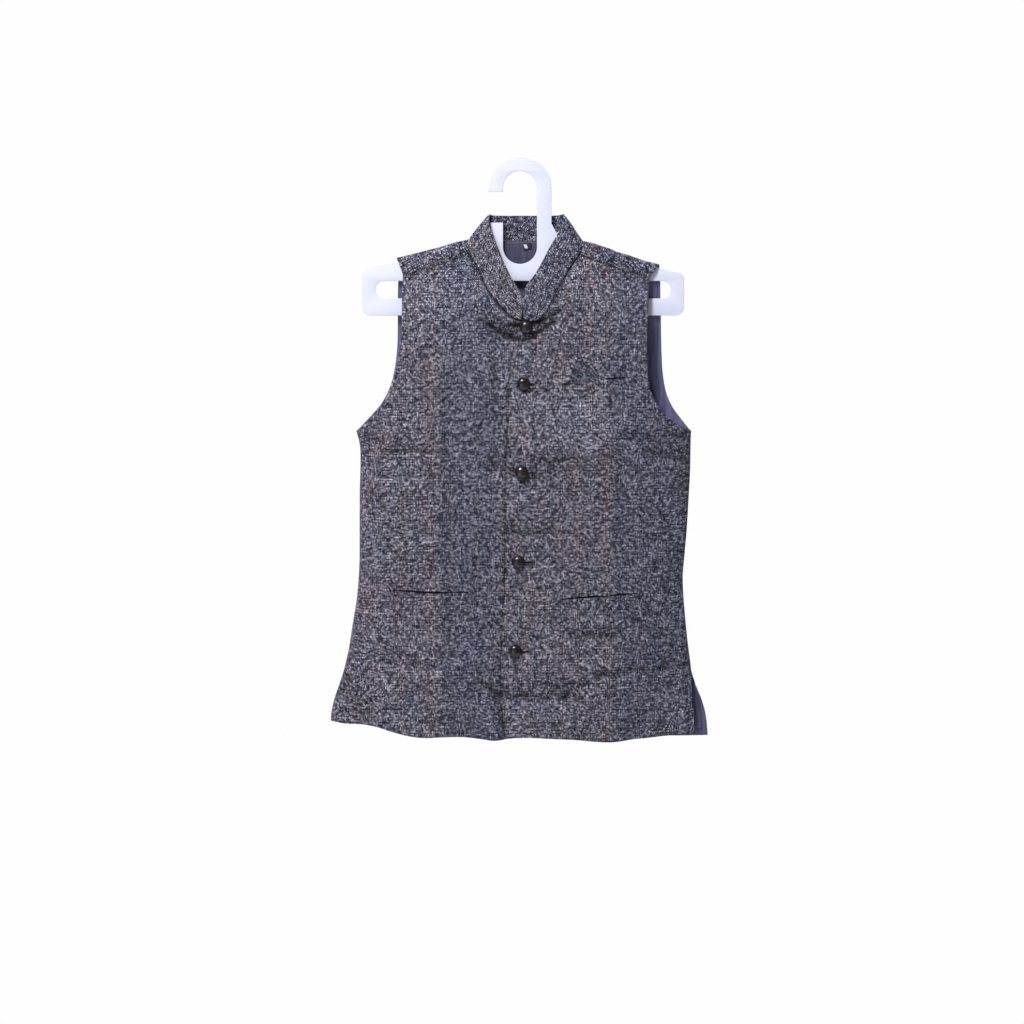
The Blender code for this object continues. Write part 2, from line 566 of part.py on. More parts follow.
def build_welt(name, x0, z0, x1, z1, x2, z2, right):
    t = np.linspace(0, 1, 9)
    mouth = along([(x0, z0), (x1, z1), (x2, z2)], t)
    direction = np.array([x2 - x0, z2 - z0]) / math.hypot(x2 - x0, z2 - z0)
    down = np.array([direction[1], -direction[0]])
    rows = [mouth + down * (WELT_H * k) for k in (0.0, 0.5, 1.0)]
    grid = np.stack(rows)
    points = on_front(grid[..., 0], grid[..., 1], CLOTH / 2 + SEAM + 0.15 + WELT / 2, right).reshape(-1, 3)
    made = wall(points, grid_faces(3, len(t)), WELT, (0, -1, 0))
    return solid(name, *made, WOOL, 0.85)


def build_square():
    (x0, z0), (x1, z1), (x2, z2), (x3, z3) = SQUARE
    a, b = np.meshgrid(np.linspace(0, 1, 5), np.linspace(0, 1, 6), indexing="ij")
    left = np.stack([x0 + (x1 - x0) * b, z0 + (z1 - z0) * b], -1)
    right_t = np.where(b < 0.45, b / 0.45, 1.0)[..., None]
    right_s = np.where(b < 0.45, 0.0, (b - 0.45) / 0.55)[..., None]
    right = np.array([x3, z3]) + (np.array([x2, z2]) - np.array([x3, z3])) * right_t + (np.array([x1 + 1.6, z1 - 1.0]) - np.array([x2, z2])) * right_s
    xz = left + (right - left) * a[..., None]
    points = on_front(xz[..., 0], xz[..., 1], CLOTH / 2 + SEAM + 0.15 + 0.5, False).reshape(-1, 3)
    made = wall(points, grid_faces(5, 6), 1.0, (0, -1, 0))
    return solid("pocket_square", *made, (0.13, 0.12, 0.13), 0.85)


def build_button(number, x, z):
    profile = ((0.0, 1.0), (0.42, 0.95), (0.72, 0.78), (0.91, 0.50), (1.0, 0.22), (0.96, 0.05), (0.86, 0.0))
    turns = 16
    ring_x = x + np.cos(np.linspace(0, 2 * math.pi, 13)) * BUTTON_D / 2
    ring_z = z + np.sin(np.linspace(0, 2 * math.pi, 13)) * BUTTON_D / 2
    proud = np.append(on_front(ring_x, ring_z, CLOTH / 2, False)[:, 1], on_front([x], [z], CLOTH / 2, False)[:, 1]).min()
    seat = proud - SEAM - 0.5
    points, faces = [], []
    for r, h in profile[1:]:
        for k in range(turns):
            turn = 2 * math.pi * k / turns
            points.append((x + r * BUTTON_D / 2 * math.cos(turn), seat - h * BUTTON_H, z + r * BUTTON_D / 2 * math.sin(turn)))
    top, bottom = len(points), len(points) + 1
    points += [(x, seat - BUTTON_H, z), (x, seat, z)]
    rings = len(profile) - 1
    for k in range(turns):
        n = (k + 1) % turns
        faces.append((top, k, n))
        faces.append((bottom, (rings - 1) * turns + n, (rings - 1) * turns + k))
        for r in range(rings - 1):
            a, b = r * turns, (r + 1) * turns
            faces.append((a + k, b + k, b + n, a + n))
    return solid("button_%d" % number, np.array(points), faces, (0.018, 0.013, 0.014), 0.25)


def build_tab():
    x, z = np.meshgrid(TAB[0] + np.linspace(-0.5, 0.5, 4) * TAB_W, TAB[1] + np.linspace(0.5, -0.5, 3) * TAB_H)
    inward = CLOTH / 2 + SEAM + 0.8 + LINING + SEAM + TAB_T / 2 + 0.1
    points = np.stack([x, depth(x, z, SHOULDER_BACK, 2, ()) - inward, z], -1).reshape(-1, 3)
    made = wall(points, grid_faces(3, 4), TAB_T, (0, -1, 0))
    return solid("size_tab", *made, (0.55, 0.55, 0.6), 0.7)


def arc(cx, cz, radius, start, end, steps):
    turn = np.radians(np.linspace(start, end, steps))
    return [(cx + radius * math.cos(a), cz + radius * math.sin(a)) for a in turn]


def build_hanger():
    """One sheet: open hook, shoulders, an upper and a lower bar with a slot between."""
    inner, outer = HOOK_R, HOOK_R + HANGER_STEM
    top, low = -HOOK_R, -HOOK_DROP + HOOK_R
    clear = CLOTH / 2 + 2.6
    line = []
    line += [(-inner, -30.4), (-inner, top)]
    line += arc(0, top, inner, 180, 0, 13)[1:]
    line += [(inner, low)]
    line += arc(0, low, inner, 0, -180, 13)[1:]
    line += [(-inner, -75.0), (-44.9, -75.0), (-44.9, -84.0)]
    left_x = (-50.0, -58.0, -70.0, -90.0, -110.0, -140.0, -165.0, -190.0, -212.0)
    left_z = [float(table(RIDGE, 0, 1, x)) for x in left_x]
    drop = (16.0, 15.0, 8.5, 5.0, clear + 1.2, clear + 1.0, clear + 0.8, clear + 0.6, clear + 1.0)
    line += [(x, z - d) for x, z, d in zip(left_x, left_z, drop)]
    end_r = 13.0
    low_z = SLOT_LOW - BAR_H
    line += arc(HANGER_LEFT + end_r, -150.0 - 4.0, end_r, 120, 180, 5)
    line += arc(HANGER_LEFT + end_r, low_z + end_r, end_r, 180, 270, 6)
    line += arc(HANGER_RIGHT - end_r, low_z + end_r, end_r, 270, 360, 6)
    line += arc(HANGER_RIGHT - end_r, -158.0, end_r, 0, 60, 5)
    right_x = (222.0, 200.0, 177.0, 155.0, 128.0, 104.0, 90.0, 76.0, 64.0)
    right_z = [float(table(RIDGE, 0, 1, x)) for x in right_x]
    drop_r = (clear + 1.2, clear + 0.8, clear + 1.0, clear + 1.2, clear + 1.4, 5.0, 8.0, 14.0, 17.0)
    line += [(x, z - d) for x, z, d in zip(right_x, right_z, drop_r)]
    line += [(53.0, -90.0), (45.7, -76.0), (45.7, top)]
    line += arc(0, top, outer, 0, 180, 25)[1:]
    line += [(-outer, -30.4)]
    slot_r = (SLOT_TOP - SLOT_LOW) / 2
    slot_z = (SLOT_TOP + SLOT_LOW) / 2
    hole = arc(HANGER_LEFT + 32.0, slot_z, slot_r, 90, 270, 9) + arc(HANGER_RIGHT - 32.0, slot_z, slot_r, -90, 90, 9)
    loops = [line, hole]
    flat = [p for loop in loops for p in loop]
    count = len(flat)
    caps = tessellate_polygon([[(x, z, 0.0) for x, z in loop] for loop in loops])
    points = [(x, -HANGER_T / 2, z) for x, z in flat] + [(x, HANGER_T / 2, z) for x, z in flat]
    faces = []
    for cap in caps:
        (ax, az), (bx, bz), (cx, cz) = (flat[k] for k in cap)
        turn = (bx - ax) * (cz - az) - (cx - ax) * (bz - az)
        cap = tuple(cap) if turn > 0 else tuple(cap)[::-1]
        faces.append(cap)
        faces.append(tuple(k + count for k in cap[::-1]))
    start = 0
    for loop in loops:
        area = sum(loop[k][0] * loop[(k + 1) % len(loop)][1] - loop[(k + 1) % len(loop)][0] * loop[k][1] for k in range(len(loop)))
        solid_left = (area > 0) == (loop is line)
        for k in range(len(loop)):
            a, b = start + k, start + (k + 1) % len(loop)
            faces.append((b, a, a + count, b + count) if solid_left else (a, b, b + count, a + count))
        start += len(loop)
    return solid("hanger", np.array(points), faces, WHITE, 0.35, soft=False)


build_back(8, 21)
build_front("front_right", True, 13, 10)
build_front("front_left", False, 13, 10)
build_lining(17, 18)
build_collar()
for row in POCKETS:
    build_welt(*row, right=row[0] == "welt_right")
build_square()
for index, place in enumerate(BUTTONS):
    build_button(index + 1, *place)
build_tab()
build_hanger()
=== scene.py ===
"""Looks of the sleeveless band-collar jacket on its sheet hanger.

Tables are in millimetres in the part's own frame: X across (wearer's right is -X),
Z up, front faces -Y, origin at the inner top of the hanger's hook. Each cut piece is
a thin shell on the same surface as its solid, with the finer creases added.
"""

import math

import bpy
import numpy as np
from mathutils.geometry import tessellate_polygon
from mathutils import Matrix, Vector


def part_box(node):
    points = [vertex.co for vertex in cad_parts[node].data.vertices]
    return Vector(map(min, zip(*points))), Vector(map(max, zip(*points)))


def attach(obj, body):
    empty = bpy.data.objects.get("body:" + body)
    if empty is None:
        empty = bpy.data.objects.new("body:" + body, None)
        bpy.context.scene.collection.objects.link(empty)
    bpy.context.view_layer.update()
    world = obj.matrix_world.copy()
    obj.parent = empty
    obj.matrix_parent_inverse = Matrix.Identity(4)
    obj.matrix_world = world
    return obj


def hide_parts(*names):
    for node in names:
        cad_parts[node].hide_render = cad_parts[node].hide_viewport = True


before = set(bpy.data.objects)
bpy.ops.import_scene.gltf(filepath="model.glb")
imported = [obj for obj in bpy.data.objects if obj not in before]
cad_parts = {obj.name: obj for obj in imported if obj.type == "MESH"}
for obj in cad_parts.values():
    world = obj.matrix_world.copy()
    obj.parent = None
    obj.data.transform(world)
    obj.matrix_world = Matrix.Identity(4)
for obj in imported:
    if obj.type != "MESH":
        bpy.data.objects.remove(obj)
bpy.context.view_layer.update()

MM = 0.001
CLOTH, LINING, BAND, WELT = 1.5, 0.8, 2.5, 1.3
SEAM = 0.3
LAP_LIFT, LAP_INNER, LAP_OUTER = 2.9, 22.0, 84.0
RIDGE_ROUND, SHOULDER_FRONT, SHOULDER_BACK, SHOULDER_RUN = 14.0, 9.0, 8.0, 110.0
SIDE_POWER = 3.0
VENT_TOP, VENT_OPEN = -724.0, 3.0
BUTTON_D, BUTTON_H = 19.5, 6.6
WELT_H = 12.0
HANGER_T, HANGER_STEM, HOOK_R, HOOK_DROP = 3.0, 21.0, 24.6, 134.8
BAR_H, SLOT_TOP, SLOT_LOW = 24.7, -159.5, -184.9
HANGER_LEFT, HANGER_RIGHT = -229.0, 238.0
UNDERLAP_X = 22.0

RIDGE = (  # x, z
    (-200.0, -132.5), (-177.8, -126.6), (-160.9, -122.4), (-136.3, -116.0),
    (-117.5, -111.6), (-104.4, -107.3), (-92.8, -103.8), (-81.2, -101.5),
    (-72.5, -99.3), (-66.7, -91.3), (-60.9, -82.1), (-52.8, -72.1),
    (-44.4, -64.5), (-21.8, -37.7), (8.7, -18.8), (40.6, -39.1), (62.6, -64.2),
    (68.1, -70.5), (75.4, -82.1), (82.6, -92.8), (89.9, -101.9),
    (104.4, -104.4), (116.0, -108.8), (128.6, -112.4), (139.2, -117.5),
    (155.2, -121.8), (177.6, -129.9), (201.5, -136.0), (222.0, -141.0),
)
SIDE_RIGHT = (  # z, x
    (-377.0, -236.3), (-397.3, -231.5), (-421.9, -230.6), (-462.6, -231.6),
    (-520.5, -231.8), (-571.3, -232.2), (-593.0, -233.4), (-622.0, -236.3),
    (-658.3, -242.0), (-691.6, -247.2), (-720.6, -253.6), (-743.9, -260.6),
    (-765.6, -267.8), (-783.0, -272.2), (-800.0, -274.2),
)
SIDE_LEFT = (  # z, x
    (-377.0, 247.2), (-404.6, 246.5), (-426.3, 246.2), (-477.1, 243.6),
    (-520.5, 241.0), (-561.1, 237.4), (-587.2, 235.2), (-607.5, 235.8),
    (-651.0, 239.2), (-687.3, 242.9), (-720.6, 247.0), (-746.8, 255.2),
    (-767.0, 263.4), (-787.4, 268.8), (-817.0, 272.0),
)
DEPTHS = (  # z, front, back
    (0.0, 10.0, 9.0), (-70.0, 12.0, 10.0), (-120.0, 15.0, 10.5),
    (-200.0, 24.0, 12.0), (-300.0, 29.0, 14.0), (-377.0, 31.0, 15.0),
    (-470.0, 29.0, 14.0), (-560.0, 27.0, 13.0), (-660.0, 28.0, 14.0),
    (-740.0, 28.5, 15.5), (-830.0, 30.0, 17.0),
)
COLLAR = (  # side, base_x, base_z, top_x, top_z
    (-1, 2.0, -216.6, 3.3, -183.6), (-1, -7.2, -214.4, -1.4, -174.0),
    (-1, -17.4, -207.3, -8.7, -163.0), (-1, -30.4, -193.6, -16.7, -148.5),
    (-1, -42.8, -177.6, -24.6, -131.5), (-1, -52.9, -159.5, -31.2, -115.5),
    (-1, -61.6, -140.7, -37.0, -100.5), (-1, -69.2, -125.8, -42.0, -86.5),
    (-1, -73.3, -118.6, -44.3, -79.5), (-1, -73.1, -110.0, -45.0, -72.0),
    (-1, -72.8, -103.5, -45.0, -67.4), (0, -72.5, -99.3, -44.4, -64.5),
    (1, -69.0, -99.2, -42.0, -64.3), (1, -62.0, -99.7, -36.5, -64.8),
    (1, -40.0, -100.3, -22.0, -65.2), (1, 10.0, -100.5, 8.0, -65.3),
    (1, 58.0, -100.8, 38.0, -65.2), (1, 79.0, -101.2, 54.5, -64.8),
    (1, 86.5, -101.5, 60.2, -64.2), (0, 89.9, -101.9, 62.6, -64.2),
    (-1, 89.3, -106.0, 63.2, -68.5), (-1, 88.0, -112.5, 62.0, -74.5),
    (-1, 86.6, -119.6, 60.0, -82.0), (-1, 81.6, -126.4, 53.2, -95.4),
    (-1, 72.5, -139.9, 44.0, -110.9), (-1, 61.6, -159.5, 35.5, -127.4),
    (-1, 50.8, -179.8, 27.6, -142.0), (-1, 40.6, -199.4, 19.6, -154.4),
    (-1, 30.4, -213.4, 12.0, -163.8), (-1, 19.6, -218.6, 7.0, -173.3),
    (-1, 6.0, -217.4, 4.9, -183.3),
)
NECK_RIGHT, NECK_RIDGE_R, NECK_RIDGE_L, NECK_LEFT = 8, 11, 19, 22
SEAM_RIGHT = ((-73.3, -118.6), (-107.0, -132.1), (-140.2, -143.0), (-168.9, -151.1))
SEAM_LEFT = ((86.6, -119.6), (114.5, -131.2), (142.1, -140.9), (187.0, -154.4))
ARM_FRONT_RIGHT = (  # x, z
    (-168.9, -151.1), (-170.4, -172.5), (-170.7, -201.5), (-171.1, -230.5),
    (-173.3, -256.6), (-177.6, -281.3), (-183.8, -303.1), (-194.3, -328.0),
    (-207.0, -346.5), (-221.1, -361.5), (-236.3, -377.0),
)
ARM_FRONT_LEFT = (  # x, z
    (187.0, -154.4), (186.3, -172.5), (184.4, -211.7), (183.3, -245.0),
    (183.4, -274.1), (185.4, -303.5), (190.6, -325.0), (200.4, -342.5),
    (214.6, -358.0), (230.5, -369.0), (247.2, -377.0),
)
ARM_BACK_RIGHT = (  # x, z
    (-177.8, -126.6), (-175.6, -140.7), (-176.3, -158.0), (-176.9, -187.0),
    (-176.9, -223.3), (-177.9, -256.6), (-180.6, -281.3), (-186.0, -306.0),
    (-195.8, -329.5), (-208.1, -346.2), (-221.8, -361.3), (-236.3, -377.0),
)
ARM_BACK_LEFT = (  # x, z
    (201.5, -136.0), (203.0, -150.8), (203.2, -172.5), (203.8, -201.5),
    (204.4, -237.8), (205.2, -268.0), (207.2, -297.2), (212.0, -321.5),
    (220.6, -341.5), (232.7, -358.5), (247.2, -377.0),
)
EDGE_LEFT = (  # x, z
    (-9.6, -219.5), (-10.4, -245.0), (-11.2, -263.9), (-14.5, -332.1),
    (-17.4, -390.1), (-19.6, -436.4), (-20.3, -506.1), (-20.3, -566.9),
    (-21.8, -636.5), (-26.0, -694.5), (-26.4, -745.3), (-23.6, -788.8),
    (-19.9, -821.0),
)
EDGE_RIGHT = ((UNDERLAP_X, -220.6), (UNDERLAP_X, -500.0), (UNDERLAP_X, -817.5))
VENT_RIGHT = ((-724.0, 0.0), (-760.0, -1.2), (-800.0, -1.6))  # z, inset
VENT_LEFT = ((-724.0, 0.0), (-746.0, -6.5), (-767.0, -14.5), (-817.0, -20.2))
HEM_FRONT = (  # x, z
    (-274.0, -796.5), (-253.8, -800.2), (-232.0, -801.0), (-208.8, -804.8),
    (-185.6, -812.0), (-162.4, -817.8), (-139.2, -820.7), (-116.0, -819.8),
    (-81.2, -819.5), (-58.0, -822.1), (-34.8, -824.8), (-16.0, -821.5),
    (14.5, -820.7), (46.4, -822.1), (81.2, -823.6), (116.0, -826.5),
    (139.2, -826.3), (162.4, -822.6), (185.6, -820.5), (208.8, -817.8),
    (232.0, -816.4), (251.6, -814.6), (272.0, -814.0),
)
HEM_BACK = (  # x, z
    (-274.0, -796.0), (-220.0, -801.0), (-150.0, -814.0), (-60.0, -817.0),
    (0.0, -817.5), (90.0, -820.0), (180.0, -818.5), (225.0, -818.5),
    (272.0, -817.5),
)
# Soft folds: x0, z0, x1, z1, width, lift (outwards above zero).
FOLDS = (
    (0.0, -231.0, 22.0, -231.0, 20.0, -2.6),
    (12.0, -376.0, 118.0, -370.0, 46.0, 4.2),
    (-150.0, -330.0, -60.0, -345.0, 50.0, 2.0),
    (-30.0, -432.0, 36.0, -440.0, 19.0, -4.2),
    (-12.0, -484.0, 30.0, -486.0, 22.0, 2.2),
    (-22.0, -521.0, 50.0, -525.0, 12.0, -2.0),
    (64.0, -652.0, 120.0, -654.0, 13.0, 1.5),
    (74.0, -677.0, 132.0, -671.0, 10.0, -1.6),
    (30.0, -706.0, 116.0, -712.0, 24.0, 3.0),
    (-58.0, -741.0, -24.0, -761.0, 13.0, -2.0),
    (-24.0, -761.0, 62.0, -762.0, 15.0, -3.6),
    (62.0, -760.0, 118.0, -730.0, 13.0, -2.4),
    (-134.0, -830.0, -128.0, -735.0, 32.0, 4.0),
    (-62.0, -830.0, -66.0, -770.0, 22.0, -2.0),
    (126.0, -835.0, 122.0, -745.0, 34.0, 4.0),
    (24.0, -830.0, 22.0, -785.0, 20.0, -1.6),
    (212.0, -825.0, 206.0, -765.0, 26.0, -2.2),
    (-212.0, -815.0, -206.0, -755.0, 26.0, -2.4),
    (-236.0, -384.0, -205.0, -392.0, 12.0, -1.6),
    (150.0, -384.0, 236.0, -384.0, 14.0, -1.8),
    (-34.0, -238.0, -33.0, -330.0, 9.0, -1.0),
    (-2.0, -232.0, 24.0, -229.0, 13.0, -2.2),
)
# Pressed lines: x0, z0, x1, z1, width, lift, with a sharp middle.
CREASES = (
    (-226.0, -407.0, -106.0, -409.0, 9.0, -1.5),
    (44.0, -424.0, 145.0, -409.0, 8.0, -1.5),
    (190.0, -409.0, 246.0, -424.0, 8.0, -1.6),
    (-205.0, -712.0, -120.0, -716.0, 9.0, -1.4),
    (118.0, -729.0, 244.0, -716.0, 9.0, -1.7),
    (-104.0, -320.0, -102.0, -660.0, 8.0, -1.1),
    (140.0, -250.0, 136.0, -560.0, 8.0, -0.9),
    (-40.0, -412.0, 4.0, -420.0, 9.0, -1.8),
    (-56.0, -219.0, -32.0, -231.5, 5.0, -2.4), (-32.0, -231.5, -13.0, -242.0, 5.0, -3.2),
    (-13.0, -242.0, 5.0, -249.0, 5.0, -3.2), (32.0, -218.0, 52.0, -208.0, 4.5, -2.2),
    (-186.0, -300.0, -170.0, -318.0, 6.0, -0.8), (20.0, -500.0, 60.0, -512.0, 7.0, -1.0),
)
BACK_FOLDS = (
    (-120.0, -190.0, -105.0, -330.0, 40.0, 3.0), (128.0, -195.0, 112.0, -330.0, 40.0, 3.0),
    (4.0, -200.0, 6.0, -430.0, 30.0, -1.6),
    (-190.0, -545.0, -60.0, -556.0, 16.0, -1.6), (50.0, -552.0, 180.0, -540.0, 16.0, -1.5),
    (-150.0, -825.0, -142.0, -690.0, 32.0, 4.4), (-40.0, -825.0, -44.0, -700.0, 30.0, 3.2),
    (76.0, -825.0, 72.0, -690.0, 32.0, 4.0), (178.0, -825.0, 170.0, -700.0, 30.0, 3.8),
    (-96.0, -825.0, -94.0, -740.0, 22.0, -1.6), (126.0, -825.0, 122.0, -740.0, 22.0, -1.6),
    (-160.0, -360.0, -60.0, -395.0, 14.0, 1.2), (70.0, -398.0, 170.0, -356.0, 13.0, 1.1),
)
BACK_CREASES = (
    (-215.0, -411.0, -30.0, -414.0, 9.0, -1.2), (20.0, -410.0, 225.0, -417.0, 9.0, -1.1),
    (-104.0, -330.0, -101.0, -650.0, 9.0, -1.0), (128.0, -300.0, 124.0, -600.0, 9.0, -1.0),
    (-215.0, -714.0, 10.0, -718.0, 9.0, -1.2), (40.0, -716.0, 235.0, -711.0, 9.0, -1.0),
)
# Lips: a line of points; the cloth above it lies back, the cloth below stands proud.
LIPS = (  # points, back, width above, proud, width below
    (((-11.5, -265.0), (-5.2, -256.7), (11.6, -247.0), (27.3, -236.4), (39.0, -227.0), (50.0, -216.0)), 5.0, 13.0, 1.5, 9.0),
)
# Painted shade for deep narrow creases, darkening the cloth's colour: line, width, strength, and the front they are on.
SHADES = (  # a negative strength is painted light on a lit edge or patch
    ((-58.0, -216.0), (-44.0, -222.5), 3.6, 0.55, "right"), ((-44.0, -222.5), (-27.0, -235.0), 4.2, 0.80, "right"),
    ((-27.0, -235.0), (-8.0, -243.5), 4.4, 0.90, "both"), ((-8.0, -243.5), (9.0, -247.5), 4.4, 0.92, "both"),
    ((-9.0, -257.5), (10.0, -246.0), 4.6, 0.97, "left"), ((10.0, -246.0), (28.0, -234.0), 4.6, 0.97, "left"),
    ((28.0, -234.0), (48.0, -219.0), 3.8, 0.92, "left"), ((-46.0, -206.0), (-26.0, -222.0), 3.4, 0.50, "right"),
    ((-26.0, -222.0), (2.0, -224.5), 4.4, 0.82, "both"), ((2.0, -222.0), (26.0, -220.0), 3.8, 0.88, "both"),
    ((26.0, -220.0), (56.0, -205.0), 3.4, 0.80, "left"), ((2.0, -238.0), (24.0, -231.0), 8.0, 0.10, "both"),
    ((-40.0, -229.0), (-14.0, -233.0), 10.0, 0.30, "both"), ((30.0, -228.0), (44.0, -219.0), 5.0, 0.10, "left"),
    ((-11.0, -267.0), (-6.0, -264.0), 3.0, -0.10, "left"), ((-6.0, -264.0), (13.0, -252.0), 3.0, -0.25, "left"),
    ((13.0, -253.0), (31.0, -241.0), 3.0, -0.40, "left"), ((31.0, -241.0), (56.0, -222.0), 3.0, -0.40, "left"),
    ((-31.0, -262.0), (-16.0, -266.0), 4.0, -0.35, "right"), ((-40.0, -278.0), (-38.0, -300.0), 2.6, 0.30, "right"),
    ((-182.6, -609.0), (-182.4, -628.0), 2.0, 0.60, "right"), ((-226.0, -405.5), (-106.0, -407.0), 3.0, 0.48, "right"),
    ((-226.0, -412.0), (-106.0, -413.5), 3.4, -0.16, "right"),
    ((-50.0, -416.0), (-22.0, -428.0), 6.0, 0.30, "right"), ((-16.0, -432.0), (8.0, -447.0), 7.5, 0.46, "left"),
    ((8.0, -447.0), (44.0, -438.0), 7.0, 0.44, "left"), ((46.0, -421.0), (145.0, -410.5), 3.6, 0.42, "left"),
    ((50.0, -436.0), (120.0, -428.0), 12.0, 0.18, "left"), ((10.0, -398.0), (130.0, -388.0), 16.0, -0.14, "left"),
    ((190.0, -407.0), (246.0, -422.0), 3.6, 0.50, "left"), ((70.0, -350.0), (140.0, -372.0), 46.0, -0.24, "left"),
    ((-165.0, -168.0), (-85.0, -148.0), 34.0, -0.15, "right"), ((85.0, -148.0), (165.0, -168.0), 34.0, -0.15, "left"), ((-20.0, -520.0), (48.0, -524.0), 7.0, 0.42, "left"),
    ((-10.0, -482.0), (30.0, -484.0), 12.0, -0.14, "left"), ((-14.0, -590.0), (26.0, -592.0), 10.0, -0.14, "left"),
    ((-58.0, -741.0), (-27.0, -760.0), 6.0, 0.40, "right"), ((-25.0, -759.0), (62.0, -761.0), 8.0, 0.46, "left"),
    ((62.0, -761.0), (118.0, -729.0), 6.5, 0.42, "left"), ((118.0, -729.0), (246.0, -716.0), 5.0, 0.42, "left"),
    ((-30.0, -776.0), (60.0, -778.0), 9.0, -0.16, "left"), ((20.0, -708.0), (110.0, -712.0), 14.0, -0.12, "left"),
    ((-205.0, -710.0), (-120.0, -714.0), 4.6, 0.40, "right"), ((-205.0, -722.0), (-120.0, -726.0), 6.0, -0.12, "right"),
    ((64.0, -625.0), (120.0, -629.0), 7.0, 0.32, "left"), ((76.0, -652.0), (116.0, -652.0), 6.0, -0.16, "left"),
    ((76.0, -677.0), (130.0, -671.0), 6.0, 0.36, "left"), ((-40.0, -744.0), (-22.0, -812.0), 7.0, 0.44, "right"),
    ((-26.0, -746.0), (-24.0, -816.0), 3.4, 0.50, "left"), ((-236.0, -382.0), (-205.0, -391.0), 7.0, 0.40, "right"),
    ((150.0, -383.0), (236.0, -383.0), 8.0, 0.30, "left"), ((-262.0, -745.0), (-215.0, -795.0), 8.0, 0.30, "right"),
    ((-109.0, -320.0), (-107.0, -700.0), 7.0, 0.26, "right"), ((143.0, -290.0), (139.0, -560.0), 4.6, 0.32, "left"),
    ((-40.0, -268.0), (-36.0, -340.0), 6.0, 0.26, "right"), ((180.0, -405.0), (232.0, -400.0), 9.0, 0.22, "left"),
    ((150.0, -620.0), (215.0, -700.0), 22.0, 0.12, "left"), ((-60.0, -520.0), (-64.0, -640.0), 24.0, 0.12, "right"),
)
BUTTONS = ((8.7, -227.7), (5.1, -310.0), (1.9, -437.6), (-2.2, -566.9), (-6.5, -696.0))
HOLES = (None, 21.5, 22.5, 19.0, 14.0)  # x of each buttonhole's inner end
POCKETS = (  # node, x0, z0, x1, z1, x2, z2
    ("welt_breast", 62.4, -311.8, 112.0, -305.6, 160.9, -300.9),
    ("welt_right", -184.2, -608.5, -130.5, -613.0, -74.0, -611.9),
    ("welt_left", 59.4, -622.0, 112.0, -618.6, 168.2, -613.4),
)
SQUARE = ((68.0, -309.4), (83.4, -270.6), (112.0, -294.0), (124.0, -303.2))
TAB = (10.2, -108.9)
NECK_KNOT, ARM_KNOT = 0.18, 0.37


# ---- smooth lines through the tables -------------------------------------------
def smooth(knots, values, where):
    knots, values = np.asarray(knots, float), np.asarray(values, float)
    step = np.diff(knots)
    slope = np.diff(values) / step
    tangent = np.empty_like(values)
    tangent[1:-1] = (slope[:-1] * step[1:] + slope[1:] * step[:-1]) / (step[:-1] + step[1:])
    tangent[0], tangent[-1] = slope[0], slope[-1]
    where = np.clip(where, knots[0], knots[-1])
    i = np.clip(np.searchsorted(knots, where, side="right") - 1, 0, len(step) - 1)
    s = (where - knots[i]) / step[i]
    return (
        (1 + 2 * s) * (1 - s) ** 2 * values[i]
        + s * (1 - s) ** 2 * step[i] * tangent[i]
        + s * s * (3 - 2 * s) * values[i + 1]
        + s * s * (s - 1) * step[i] * tangent[i + 1]
    )


def table(rows, key, column, where):
    rows = sorted(rows, key=lambda row: row[key])
    return smooth([row[key] for row in rows], [row[column] for row in rows], where)


def along(points, where):
    points = np.asarray(points, float)
    length = np.concatenate([[0.0], np.cumsum(np.hypot(*np.diff(points, axis=0).T))])
    length /= length[-1]
    return np.stack([smooth(length, points[:, k], where) for k in (0, 1)], -1)


def ease(value):
    value = np.clip(value, 0.0, 1.0)
    return value * value * (3 - 2 * value)


def nearest(x, z, x0, z0, x1, z1):
    """Distance to a line piece, the signed distance above it, and the fraction along."""
    run = math.hypot(x1 - x0, z1 - z0)
    t = ((x - x0) * (x1 - x0) + (z - z0) * (z1 - z0)) / run**2
    inside = np.clip(t, 0, 1)
    away = np.hypot(x - x0 - inside * (x1 - x0), z - z0 - inside * (z1 - z0))
    above = ((x1 - x0) * (z - z0) - (z1 - z0) * (x - x0)) / run
    return away, above, inside


def folds_at(folds, creases, x, z):
    total = np.zeros(np.broadcast(x, z).shape)
    for x0, z0, x1, z1, width, lift in folds:
        total += 1.35 * lift * np.exp(-((nearest(x, z, x0, z0, x1, z1)[0] / width) ** 2))
    for x0, z0, x1, z1, width, lift in creases:
        away = nearest(x, z, x0, z0, x1, z1)[0]
        total += 1.7 * lift * np.exp(-(np.sqrt(away**2 + 1.2) - 1.1) / width * 1.4)
    return total


def lips_at(x, z):
    total = np.zeros(np.broadcast(x, z).shape)
    for points, back, above_w, proud, below_w in LIPS:
        best, sign, place = np.full(total.shape, 1e9), np.zeros(total.shape), np.zeros(total.shape)
        count = len(points) - 1
        for k in range(count):
            away, above, inside = nearest(x, z, *points[k], *points[k + 1])
            closer = away < best
            best, sign, place = np.where(closer, away, best), np.where(closer, above, sign), np.where(closer, (k + inside) / count, place)
        signed = np.where(sign >= 0, best, -best)
        fade = ease(place / 0.12) * ease((1 - place) / 0.25)
        rise = 0.5 + 0.5 * np.tanh(signed / 1.2)
        total += fade * (-back * rise * np.exp(-((np.maximum(signed, 0) / above_w) ** 2)) + proud * (1 - rise) * np.exp(-((np.maximum(-signed, 0) / below_w) ** 2)))
    return total


def shade_at(x, z, which):
    # Painted shade from SHADES; a negative strength gives painted light.
    clear = np.ones(np.broadcast(x, z).shape)
    for (x0, z0), (x1, z1), width, strength, side in SHADES:
        if side in (which, "both"):
            clear *= 1 - strength * np.exp(-((nearest(x, z, x0, z0, x1, z1)[0] / width) ** 2))
    return 1 - clear


